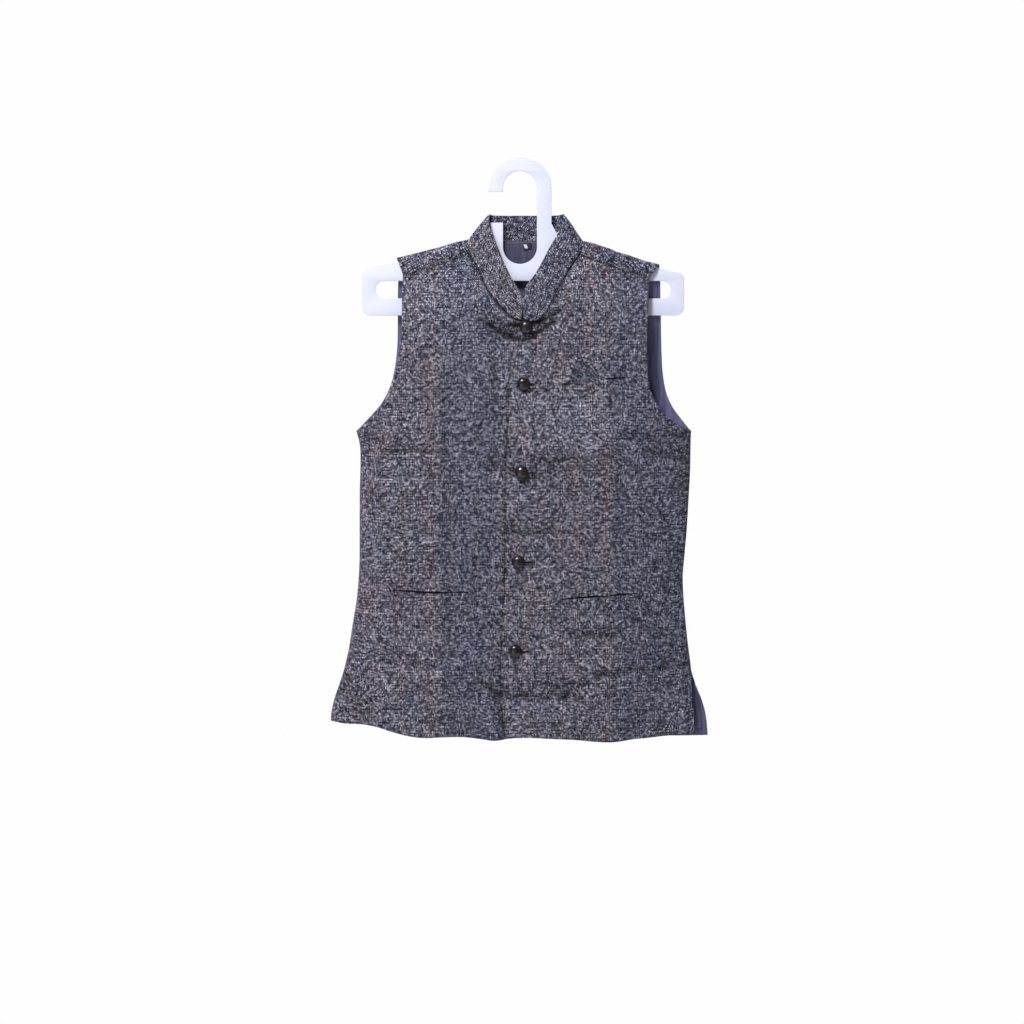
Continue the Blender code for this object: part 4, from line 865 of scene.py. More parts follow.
def make_front(name, right):
    v = np.concatenate([np.linspace(0, 0.01, 6), np.linspace(0.01, NECK_KNOT, 56)[1:], np.linspace(NECK_KNOT, 0.25, 42)[1:], np.linspace(0.25, ARM_KNOT, 42)[1:], np.linspace(ARM_KNOT, 1, 196)[1:]])
    u = np.concatenate([np.linspace(0, 0.03, 8), np.linspace(0.03, 0.25, 36)[1:], np.linspace(0.25, 1, 88)[1:]])
    vv, uu = np.meshgrid(v, u, indexing="ij")
    grid = front_points(uu, vv, right)
    calm = grid.copy()
    calm[..., 1] = -depth(grid[..., 0], grid[..., 2], SHOULDER_FRONT, 1, (), (), 0)
    uv = cloth_uv(calm)
    side = (vv >= ARM_KNOT - 1e-9) & (uu > 0.999) & (grid[..., 2] > VENT_TOP)
    fixed = (np.flatnonzero(side.ravel()), (-1.0 if right else 1.0, 0.0, 0.0))
    swell = edge_swell(grid, ((0, True, 0.35, 9.0, 5 + right), (1, False, 0.30 if not right else 0.0, 6.0, 8 + right)))
    arm = edge_swell(grid[: int(np.searchsorted(v, ARM_KNOT)) + 1], ((1, True, 0.35, 5.0, 21 + right),))
    swell[: len(arm)] += arm
    # The seams to the band and the shoulders are drawn in by their stitching.
    sink = np.zeros(vv.shape)
    across = np.concatenate([np.zeros((len(v), 1)), np.cumsum(np.linalg.norm(np.diff(grid, axis=1), axis=2), axis=1)], axis=1)
    sink -= 1.5 * np.exp(-((across / 3.6) ** 2)) * ease((NECK_KNOT + 0.012 - vv) / 0.02)
    downs = np.concatenate([np.zeros((1, len(u))), np.cumsum(np.linalg.norm(np.diff(grid, axis=0), axis=2), axis=0)], axis=0)
    sink -= 0.9 * np.exp(-((downs / 3.2) ** 2)) * ease((1 - uu) / 0.06)
    if right:
        # Pressed in beside the edge of the front that laps over it.
        edge = np.interp(grid[..., 2], [p[1] for p in EDGE_LEFT][::-1], [p[0] for p in EDGE_LEFT][::-1])
        sink -= 1.5 * np.exp(-(((grid[..., 0] - edge + 1.6) / 2.8) ** 2)) * ease((-255.0 - grid[..., 2]) / 20.0)
    fx, fz = grid[..., 0], grid[..., 2]
    uneven = 1 + ripple(fx, fz, 91, 30.0, 0.22)
    # Painted shade in the creases and painted light on lit edges and patches.
    shade = shade_at(fx, fz, "right" if right else "left") * uneven
    # Painted shade along the band and shoulder seams, and beside the edge of the front that laps over it.
    seams = 0.72 * np.exp(-((across / 2.6) ** 2)) * ease((NECK_KNOT + 0.012 - vv) / 0.02)
    seams = np.maximum(seams, 0.72 * np.exp(-((downs / 2.4) ** 2)) * ease((1 - uu) / 0.04))
    if right:
        seams = np.maximum(seams, 0.62 * np.exp(-(((fx - edge + 1.0) / 2.4) ** 2)) * ease((-262.0 - fz) / 6.0))
    shade = 1 - (1 - shade) * (1 - seams * uneven)
    made = shell(name, grid.reshape(-1, 3), grid_faces(*grid.shape[:2]), uv.reshape(-1, 2), CLOTH, (CLOTH_MAT, LINING_MAT), (0, -1, 0), sink.ravel(), fixed, swell=np.maximum(swell.ravel(), -0.2), shade=shade.ravel())
    return belongs(made, "front_right" if right else "front_left", slot="melange_cloth"), grid, uv


front_right, grid_fr, uv_fr = make_front("cloth_front_right", True)
front_left, grid_fl, uv_fl = make_front("cloth_front_left", False)


# ---- back, brought forward over the shoulders ----------------------------------------
def make_back():
    span = ARM_BACK_LEFT[0][0] - ARM_BACK_RIGHT[0][0]
    neck_r = (COLLAR[NECK_RIDGE_R][1] - ARM_BACK_RIGHT[0][0]) / span
    neck_l = (COLLAR[NECK_RIDGE_L][1] - ARM_BACK_RIGHT[0][0]) / span
    u = np.concatenate([np.linspace(0, neck_r, 42), np.linspace(neck_r, neck_l, 60)[1:], np.linspace(neck_l, 1, 42)[1:]])
    drops = np.array([0.0, 0.4, 1.2, 2.6, 4.5, 7.0, 10.0, 13.5, 17.0]) / 735.0
    v = np.concatenate([drops, np.linspace(drops[-1], 1, 230)[1:]])
    vv, uu = np.meshgrid(v, u, indexing="ij")
    x, z = back_patch(uu, vv)
    y = np.maximum(depth_back(x, z), np.where(z < -370, vent_gap(z), 0.0))
    grid = np.stack([x, y, z], -1)
    ridge = (vv == 0) & ((uu <= neck_r + 1e-9) | (uu >= neck_l - 1e-9))
    grid[ridge, 1] = 0.0
    calm = grid.copy()
    calm[..., 1] = depth(x, z, SHOULDER_BACK, 2, (), (), 0)
    uv = cloth_uv(calm)
    side_r = (vv >= ARM_KNOT - 1e-3) & (uu < 1e-6) & (grid[..., 2] > VENT_TOP)
    side_l = (vv >= ARM_KNOT - 1e-3) & (uu > 1 - 1e-6) & (grid[..., 2] > VENT_TOP)
    fixed_where = np.flatnonzero((side_r | side_l).ravel())
    fixed_value = np.where(side_r.ravel()[fixed_where][:, None], (-1.0, 0.0, 0.0), (1.0, 0.0, 0.0))
    main = grid_faces(*grid.shape[:2])
    if quad_normals(grid.reshape(-1, 3), main)[:, 1].mean() < 0:
        main = main[:, ::-1]
    flat, maps, faces, count = [grid.reshape(-1, 3)], [uv.reshape(-1, 2)], [main], grid.shape[0] * grid.shape[1]
    for shoulder, seam, right in (
        (np.flatnonzero(u <= neck_r + 1e-9), SEAM_RIGHT, True),
        (np.flatnonzero(u >= neck_l - 1e-9), SEAM_LEFT, False),
    ):
        part = np.linspace(1, 0, len(shoulder)) if right else np.linspace(0, 1, len(shoulder))
        low = along(seam, part) + (0.0, SEAM)
        high = grid[0, shoulder][:, [0, 2]]
        slope = np.gradient(high, axis=0)
        slope /= np.linalg.norm(slope, axis=1)[:, None]
        up = np.stack([-slope[:, 1], slope[:, 0]], -1)
        neck_end = -1 if right else 0
        size = np.array([-2 * SEAM if right else 2 * SEAM, 0.0])
        above, top_uv = shoulder.copy(), uv[0, shoulder]
        for step in (0.012, 0.04, 0.09, 0.16, 0.25, 0.35, 0.46, 0.58, 0.7, 0.8, 0.87, 0.92, 0.96, 1.0):
            xz = high + (low - high) * step
            lead = xz - high
            # Unfolded: the forward flap's cloth mirrors across the ridge line.
            mirrored = lead - 2 * (lead * up).sum(1)[:, None] * up
            xz[neck_end] += size * (1.0 if step < 1 else 0.5)
            yy = -np.maximum(depth_front(xz[:, 0], xz[:, 1]) - 1.0 * math.exp(-(((1 - step) * 30.0 / 3.4) ** 2)), 0.12)
            flat.append(np.stack([xz[:, 0], yy, xz[:, 1]], -1))
            maps.append(top_uv + mirrored)
            below = np.arange(count, count + len(shoulder))
            strip = np.stack([above[:-1], above[1:], below[1:], below[:-1]], -1)
            faces.append(strip)
            above, count = below, count + len(shoulder)
    flat = np.concatenate(flat)
    turned = [faces[0]]
    for strip in faces[1:]:
        turned.append(strip[:, ::-1] if quad_normals(flat, strip)[:, 1].mean() > 0 else strip)
    swell = np.zeros(len(flat))
    main_swell = edge_swell(grid, ((0, True, 0.35, 9.0, 41),))
    rows_arm = int(np.searchsorted(v, ARM_KNOT)) + 1
    main_swell[:rows_arm] += edge_swell(grid[:rows_arm], ((1, True, 0.3, 5.0, 43), (1, False, 0.3, 5.0, 44)))
    swell[: main_swell.size] = np.maximum(main_swell.ravel(), -0.2)
    made = shell("cloth_back", flat, np.concatenate(turned), np.concatenate(maps), CLOTH, (CLOTH_MAT, LINING_MAT), None, 0.0, (fixed_where, fixed_value), swell=swell)
    return belongs(made, "back", slot="melange_cloth"), grid


back, grid_back = make_back()


# ---- lining of the back ----------------------------------------------------------------
def make_lining():
    t, w = np.linspace(0, 1, 90), np.linspace(0, 1, 150)
    ww, tt = np.meshgrid(w, t, indexing="ij")
    top_x = back_top(0.05 + 0.9 * tt)[0]
    inside = ease((top_x - COLLAR[NECK_RIDGE_R][1]) / 14.0) * ease((COLLAR[NECK_RIDGE_L][1] - top_x) / 14.0)
    start = 0.027 - 0.0255 * inside
    vv = start + (0.985 - start) * (0.35 * ww**2 + 0.65 * ww)
    inset = 0.012 + 0.062 * ease((vv - 0.15) / 0.2)
    x, z = back_patch(inset + (1 - 2 * inset) * tt, vv)
    y = depth(x, z, SHOULDER_BACK, 2, (), (), 0)
    free = ease((vv - start) / 0.03) * ease(tt / 0.04) * ease((1 - tt) / 0.04)
    # Hangs loose: soft upright drapes, and shallow hammocks under the neck.
    drape = ripple(x, z * 0.25, 61, 34.0, 0.55) + ripple(x * 0.3, z, 63, 60.0, 0.25)
    hammock = 0.9 * np.exp(-(((z + 112.0 + 0.0010 * (x - 8) ** 2) / 3.2) ** 2)) + 0.6 * np.exp(-(((z + 122.0 + 0.0016 * (x - 2) ** 2) / 4.0) ** 2))
    arm = sum(a * np.exp(-((nearest(x, z, *line)[0] / w0) ** 2)) for line, w0, a in (
        ((186.0, -327.0, 206.0, -343.0), 3.0, 1.2), ((194.0, -320.0, 207.0, -330.0), 2.5, 0.9), ((190.0, -255.0, 193.0, -318.0), 3.5, 0.8), ((198.0, -215.0, 200.0, -300.0), 3.0, 0.7)))
    # Below the hanger it hangs clear of the back's folds.
    y = y - free * (0.45 + 2.0 * ease((-250.0 - z) / 60.0) + drape * 0.8 + hammock + arm)
    grid = np.stack([x, y, z], -1)
    made = shell("cloth_lining_back", grid.reshape(-1, 3), grid_faces(*grid.shape[:2]), cloth_uv(grid).reshape(-1, 2), LINING, (LINING_MAT,), (0, 1, 0), -(1.6 / 2 + SEAM + 0.8 + 0.5), inner_slot=0)
    return belongs(made, "lining_back", slot="lining_cloth"), grid


lining, grid_lining = make_lining()


# ---- collar band ---------------------------------------------------------------------------
def make_collar():
    where = np.concatenate([np.linspace(0, 8, 90), np.linspace(8, 11, 16)[1:], np.linspace(11, 12, 10)[1:], np.linspace(12, 18, 90)[1:], np.linspace(18, 19, 10)[1:], np.linspace(19, 22, 16)[1:], np.linspace(22, 30, 90)[1:]])
    across = np.concatenate([[0.024, 0.05, 0.09], np.linspace(0.14, 0.9, 13), [0.94, 0.975, 1.0]])
    ww, aa = np.meshgrid(where, across, indexing="ij")
    rows = np.arange(len(COLLAR), dtype=float)
    bx, bz, tx, tz = (smooth(rows, [row[k] for row in COLLAR], ww) for k in (1, 2, 3, 4))
    x, z = bx + (tx - bx) * aa, bz + (tz - bz) * aa
    plain = lambda px, pz, shoulder, column: depth(px, pz, shoulder, column, (), (), 0)
    y = np.where((ww > NECK_RIDGE_R) & (ww < NECK_RIDGE_L), plain(x, z, SHOULDER_BACK, 2), -plain(x, z, SHOULDER_FRONT, 1))
    y = np.where((np.abs(ww - NECK_RIDGE_R) < 1e-6) | (np.abs(ww - NECK_RIDGE_L) < 1e-6), 0.0, y)
    # The ends sink towards the top button with the cloth they are sewn to.
    low = ease((-186.0 - z) / 26.0) * ease((60.0 - np.abs(x - 6.0)) / 40.0)
    y = y + 1.1 * low
    grid = np.stack([x, y, z], -1)
    run = np.concatenate([[0.0], np.cumsum(np.linalg.norm(np.diff(grid[:, 8], axis=0), axis=1))])
    height = np.linalg.norm(grid[:, -1] - grid[:, 0], axis=1)
    uv = np.stack([np.broadcast_to(run[:, None], ww.shape), height[:, None] * (aa - 0.5)], -1)
    faces = grid_faces(*grid.shape[:2])
    middle = np.array([8.0, 0.0])
    flat = grid.reshape(-1, 3)
    normal = point_normals(flat, faces)
    if np.einsum("ij,ij->i", normal[:, :2], flat[:, :2] - middle).mean() < 0:
        faces = faces[:, ::-1]
    # The band swelling between its seams, and rippling a little along its lower edge.
    span = height[:, None] * np.ones_like(aa)
    top, foot = (1 - aa) * span, aa * span
    swell = 0.7 * np.sin(np.clip(aa, 0, 1) * math.pi) ** 0.6 + 0.10 * np.sin(run[:, None] / 5.3 + 2 * np.sin(run[:, None] / 17.0)) * np.exp(-((foot / 7.0) ** 2))
    made = shell("cloth_collar", flat, faces, uv.reshape(-1, 2), BAND, (BAND_MAT, BAND_MAT), None, 0.55, rim=4, inner_slot=1, swell=swell.ravel())
    return belongs(made, "collar", slot="melange_cloth"), grid


collar, grid_collar = make_collar()


# ---- things that lie on the fronts ---------------------------------------------------------
def on_front(x, z, out, right, e=1.0):
    x, z = np.asarray(x, float), np.asarray(z, float)
    slope_x = (front_y(x + e, z, right) - front_y(x - e, z, right)) / (2 * e)
    slope_z = (front_y(x, z + e, right) - front_y(x, z - e, right)) / (2 * e)
    normal = np.stack([slope_x, -np.ones_like(slope_x), slope_z], -1)
    normal /= np.linalg.norm(normal, axis=-1)[..., None]
    return np.stack([x, front_y(x, z, right), z], -1) + normal * np.asarray(out)[..., None]


def make_welt(name, x0, z0, x1, z1, x2, z2):
    right = name == "welt_right"
    t = np.linspace(0, 1, 90)
    k = np.concatenate([[0.0, 0.03, 0.07, 0.12], np.linspace(0.2, 0.9, 8), [0.95, 1.0]])
    mouth = along([(x0, z0), (x1, z1), (x2, z2)], t)
    direction = np.array([x2 - x0, z2 - z0]) / math.hypot(x2 - x0, z2 - z0)
    down = np.array([direction[1], -direction[0]])
    grid = mouth[None] + down * (WELT_H * k)[:, None, None]
    # The folded top stands off a little and the sewn foot lies flat.
    lift = CLOTH / 2 + 0.45 + WELT / 2 + 0.9 * np.exp(-((k / 0.25) ** 2))[:, None] * np.sin(np.clip(t, 0, 1) * math.pi)[None] - (0.95 * ease((k - 0.35) / 0.65)[:, None] + 0.45 * (1 - ease(t / 0.05) * ease((1 - t) / 0.05))[None])
    points = on_front(grid[..., 0], grid[..., 1], lift, right)
    uv = grid.copy()
    made = shell("cloth_" + name, points.reshape(-1, 3), grid_faces(len(k), len(t)), uv.reshape(-1, 2), WELT * ((1 - 0.8 * ease((k - 0.35) / 0.65))[:, None] * (0.25 + 0.75 * ease(t / 0.05) * ease((1 - t) / 0.05))[None]).ravel(), (WELT_MAT, LINING_MAT), (0, -1, 0), rim=3)
    belongs(made, name, slot="melange_cloth")
    # Painted shadow: a near-black strip in the mouth between the welt's fold and the front above it.
    s = np.array([-3.0, -2.2, -1.0, 0.0, 0.8, 1.4])
    seed = len(name)
    open_by = (0.62 + 0.30 * np.sin(math.pi * np.clip(t, 0.02, 0.98)) ** 0.5 + 0.28 * np.sin(t * 13.0 + seed) * np.sin(t * 5.0 + 2 * seed))[None]
    strip = mouth[None] + down * (-0.2 + s[:, None, None] * open_by[..., None])
    points = on_front(strip[..., 0], strip[..., 1], np.full(strip.shape[:2], CLOTH / 2 + 0.22) - 0.03 * np.abs(s)[:, None], right)
    slit = shell("mouth_" + name, points.reshape(-1, 3), grid_faces(len(s), len(t)), strip.reshape(-1, 2), 0.16, (SHADOW_SLIT_MAT, SHADOW_SLIT_MAT), (0, -1, 0), rim=1)
    belongs(slit, slot="melange_cloth")
    # Bar tacks: short satin-stitched ends.
    tacks = []
    for end in (0.0, 1.0):
        foot = along([(x0, z0), (x1, z1), (x2, z2)], np.array([end]))[0]
        tacks.append(stitch_row("tack_%s_%d" % (name, int(end)), foot - down * 1.2, foot + down * (WELT_H * 0.72), right, 0.75, 1.5, 0.8))
    return made, slit, tacks


def tube(path, radius, sides=8, cap=True):
    """Points and faces of a closed tube along a path, mm."""
    path = np.asarray(path, float)
    radius = np.broadcast_to(radius, (len(path),))
    tangent = np.gradient(path, axis=0)
    tangent /= np.linalg.norm(tangent, axis=1)[:, None] + 1e-12
    guide = np.array([0.0, -1.0, 0.0])
    side = np.cross(tangent, guide)
    side /= np.linalg.norm(side, axis=1)[:, None] + 1e-12
    up = np.cross(side, tangent)
    turn = np.linspace(0, 2 * math.pi, sides, endpoint=False)
    rings = path[:, None] + radius[:, None, None] * (np.cos(turn)[None, :, None] * side[:, None] + np.sin(turn)[None, :, None] * up[:, None])
    points = rings.reshape(-1, 3)
    faces = []
    for k in range(len(path) - 1):
        for m in range(sides):
            a, b = k * sides + m, k * sides + (m + 1) % sides
            faces.append((a, b, b + sides, a + sides))
    faces.append(tuple(range(sides))[::-1])
    faces.append(tuple(range((len(path) - 1) * sides, len(path) * sides)))
    return points, faces


def joined(name, parts, mat):
    points, faces, count = [], [], 0
    for p, f in parts:
        points.append(p)
        faces += [tuple(k + count for k in face) for face in f]
        count += len(p)
    return build(name, np.concatenate(points), faces, None, (mat,))


def stitch_row(name, start, end, right, pitch, length, radius_scale=1.0, across=True):
    """Close satin stitches lying across a short line."""
    start, end = np.asarray(start, float), np.asarray(end, float)
    size = np.linalg.norm(end - start)
    run = (end - start) / size
    over = np.array([run[1], -run[0]])
    parts = []
    for k in range(max(int(size / pitch), 2)):
        centre = start + run * (k + 0.5) * pitch
        t = np.linspace(-1, 1, 7)
        xz = centre + over * (t * length / 2)[:, None]
        out = CLOTH / 2 + 0.85 + 0.22 * (1 - t**2)
        parts.append(tube(on_front(xz[:, 0], xz[:, 1], out, right), 0.30 * radius_scale * np.sqrt(np.maximum(1 - (t * 0.92) ** 2, 0.05)), 6))
    return belongs(joined(name, parts, THREAD_MAT), slot="melange_cloth")


welt_parts = {}
for row in POCKETS:
    welt_parts[row[0]] = make_welt(*row)


def make_square():
    (x0, z0), (x1, z1), (x2, z2), (x3, z3) = SQUARE
    a, b = np.meshgrid(np.linspace(0, 1, 34), np.linspace(0, 1, 44), indexing="ij")
    left = np.stack([x0 + (x1 - x0) * b, z0 + (z1 - z0) * b], -1)
    right_t = np.where(b < 0.45, b / 0.45, 1.0)[..., None]
    right_s = np.where(b < 0.45, 0.0, (b - 0.45) / 0.55)[..., None]
    right = np.array([x3, z3]) + (np.array([x2, z2]) - np.array([x3, z3])) * right_t + (np.array([x1 + 1.6, z1 - 1.0]) - np.array([x2, z2])) * right_s
    xz = left + (right - left) * a[..., None]
    lift = CLOTH / 2 + 0.95 + 0.55 * np.sin(a * math.pi) * (1 - 0.5 * b) + 0.25 * np.sin(a * 9.0 + b * 3.0) * (1 - b)
    points = on_front(xz[..., 0], xz[..., 1], lift, False)
    swell = 0.8 * (np.exp(-(((a) / 0.06) ** 2)) + np.exp(-(((1 - a) / 0.06) ** 2)))
    made = shell("cloth_pocket_square", points.reshape(-1, 3), grid_faces(34, 44), xz.reshape(-1, 2), 0.9, (SQUARE_MAT, SQUARE_MAT), (0, -1, 0), rim=2, swell=swell.ravel())
    return belongs(made, "pocket_square", slot="melange_cloth")


square = make_square()


def make_button(number, x, z):
    ring_x = x + np.cos(np.linspace(0, 2 * math.pi, 13)) * BUTTON_D / 2
    ring_z = z + np.sin(np.linspace(0, 2 * math.pi, 13)) * BUTTON_D / 2
    low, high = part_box("button_%d" % number)
    seat = high[1] / MM - 0.15
    # Dome, rounded rim and a shallow well behind.
    profile = ((0.0, 6.6), (0.16, 6.55), (0.32, 6.35), (0.48, 5.95), (0.63, 5.3), (0.76, 4.4), (0.86, 3.5), (0.93, 2.7), (0.975, 2.0), (1.0, 1.3), (0.985, 0.7), (0.93, 0.35), (0.80, 0.25), (0.55, 0.2), (0.30, 0.05), (0.22, 0.0))
    rng = np.random.default_rng(70 + number)
    tilt_x, tilt_z = ((5.0, 4.0), (-7.0, 5.0), (10.0, -9.0), (-6.0, -8.0), (-9.0, 7.0))[number - 1]
    turns = 56
    points, faces = [], []
    for r, h in profile[1:]:
        for k in range(turns):
            turn = 2 * math.pi * k / turns
            px, pz = r * BUTTON_D / 2 * math.cos(turn), r * BUTTON_D / 2 * math.sin(turn)
            # Tilted a little on its shank, more so at the crown than at the rim.
            lean = h / 6.6
            points.append((x + px + lean * tilt_x * 0.06, seat - h, z + pz + lean * tilt_z * 0.06))
    rings = len(profile) - 1
    top, bottom = len(points), len(points) + 1
    points += [(x + tilt_x * 0.06, seat - 6.6, z + tilt_z * 0.06), (x, seat, z)]
    for k in range(turns):
        n = (k + 1) % turns
        faces.append((top, k, n))
        faces.append((bottom, (rings - 1) * turns + n, (rings - 1) * turns + k))
        for r in range(rings - 1):
            a, b = r * turns, (r + 1) * turns
            faces.append((a + k, b + k, b + n, a + n))
    made = build("dome_button_%d" % number, np.array(points), faces, None, (BUTTON_MAT,))
    return belongs(made, "button_%d" % number, slot="button_plastic")


buttons = [make_button(k + 1, *place) for k, place in enumerate(BUTTONS)]


def make_shank(number, x, z):
    """Wound thread between a button and the cloth under it."""
    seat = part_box("button_%d" % number)[1][1] / MM - 0.4
    foot = float(front_y(np.array(x), np.array(z), False)) - CLOTH / 2 + 0.4
    turns = np.linspace(0, 1, 60)
    wind = [(x + 1.25 * math.cos(30 * a), seat + (foot - seat) * a, z + 1.25 * math.sin(30 * a)) for a in turns]
    core = [(x, seat + (foot - seat) * a, z) for a in np.linspace(0, 1, 4)]
    return belongs(joined("shank_%d" % number, [tube_along(core, 1.25), tube_along(wind, 0.42)], THREAD_MAT), slot="button_plastic")


def tube_along(path, radius, sides=8):
    path = np.asarray(path, float)
    tangent = np.gradient(path, axis=0)
    tangent /= np.linalg.norm(tangent, axis=1)[:, None]
    side = np.cross(tangent, (0.0, 0.0, 1.0))
    side /= np.linalg.norm(side, axis=1)[:, None] + 1e-9
    up = np.cross(side, tangent)
    turn = np.linspace(0, 2 * math.pi, sides, endpoint=False)
    rings = path[:, None] + radius * (np.cos(turn)[None, :, None] * side[:, None] + np.sin(turn)[None, :, None] * up[:, None])
    faces = [(k * sides + m, k * sides + (m + 1) % sides, (k + 1) * sides + (m + 1) % sides, (k + 1) * sides + m) for k in range(len(path) - 1) for m in range(sides)]
    faces += [tuple(range(sides))[::-1], tuple(range((len(path) - 1) * sides, len(path) * sides))]
    return rings.reshape(-1, 3), faces


shanks = [make_shank(k + 1, *place) for k, place in enumerate(BUTTONS)]


def make_hole(number, x, z, end):
    """Buttonhole: a near-black strip of painted shadow for the slit, inside a ring of close purl stitches."""
    start, half = x + 2.0, 1.25
    length = end - start
    parts = []
    turn = np.linspace(0, 2 * math.pi, 64, endpoint=False)
    cx = start + length / 2
    # Racetrack round the slit.
    def track(off):
        straight = length / 2 - half
        pts = []
        for a in turn:
            c, s = math.cos(a), math.sin(a)
            pts.append((cx + straight * np.sign(c) * min(abs(c) * 1.25, 1.0) + off * c, z - 0.4 + off * s))
        return np.array(pts)
    inner, outer = track(half * 0.55), track(half * 1.75)
    for k in range(0, 64):
        t = np.linspace(0, 1, 5)
        xz = inner[k] + (outer[k] - inner[k]) * t[:, None]
        out = CLOTH / 2 + 0.20 + 0.40 * np.sin(t * math.pi)
        parts.append(tube(on_front(xz[:, 0], xz[:, 1], out, False), 0.26, 5))
    purl = belongs(joined("purl_hole_%d" % number, parts, THREAD_MAT), slot="melange_cloth")
    # Painted shadow: a near-black strip where the slit opens.
    t = np.linspace(-1, 1, 30)
    s = np.linspace(-1, 1, 5)
    ss, tt = np.meshgrid(s, t, indexing="ij")
    gx, gz = cx + tt * (length / 2), z - 0.4 + ss * half * 0.8 * np.sqrt(np.maximum(1 - tt**4, 0.02))
    points = on_front(gx, gz, np.full(gx.shape, CLOTH / 2 + 0.20), False)
    slit = shell("painted_shadow_hole_%d" % number, points.reshape(-1, 3), grid_faces(len(s), len(t)), np.stack([gx, gz], -1).reshape(-1, 2), 0.12, (SHADOW_SLIT_MAT, SHADOW_SLIT_MAT), (0, -1, 0), rim=1)
    belongs(slit, slot="melange_cloth")
    return purl, slit


holes = [make_hole(k + 1, BUTTONS[k][0], BUTTONS[k][1], HOLES[k]) for k in range(5) if HOLES[k]]


# ---- size tab -----------------------------------------------------------------------------
def make_tab():
    low, high = (np.array(c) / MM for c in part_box("size_tab"))
    tt, ss = np.meshgrid(np.linspace(0, 1, 26), np.linspace(0, 1, 18), indexing="ij")
    x = low[0] + (high[0] - low[0]) * tt
    z = low[2] + (high[2] - low[2]) * ss + 0.8 * np.sin(tt * 2.4)
    y = depth(x, z, SHOULDER_BACK, 2, (), (), 0) - (1.6 / 2 + SEAM + 0.8 + 1.0 + SEAM + 1.9) - 0.35 * np.sin(tt * 5.0) * (1 - ss)
    made = shell("cloth_size_tab", np.stack([x, y, z], -1).reshape(-1, 3), grid_faces(26, 18), np.stack([x, z], -1).reshape(-1, 2), 0.4, (TAB_MAT, TAB_MAT), (0, -1, 0))
    return belongs(made, "size_tab", slot="tab_cloth")


tab = make_tab()


# ---- hanger -------------------------------------------------------------------------------
def arc(cx, cz, radius, start, end, steps):
    turn = np.radians(np.linspace(start, end, steps))
    return [(cx + radius * math.cos(a), cz + radius * math.sin(a)) for a in turn]


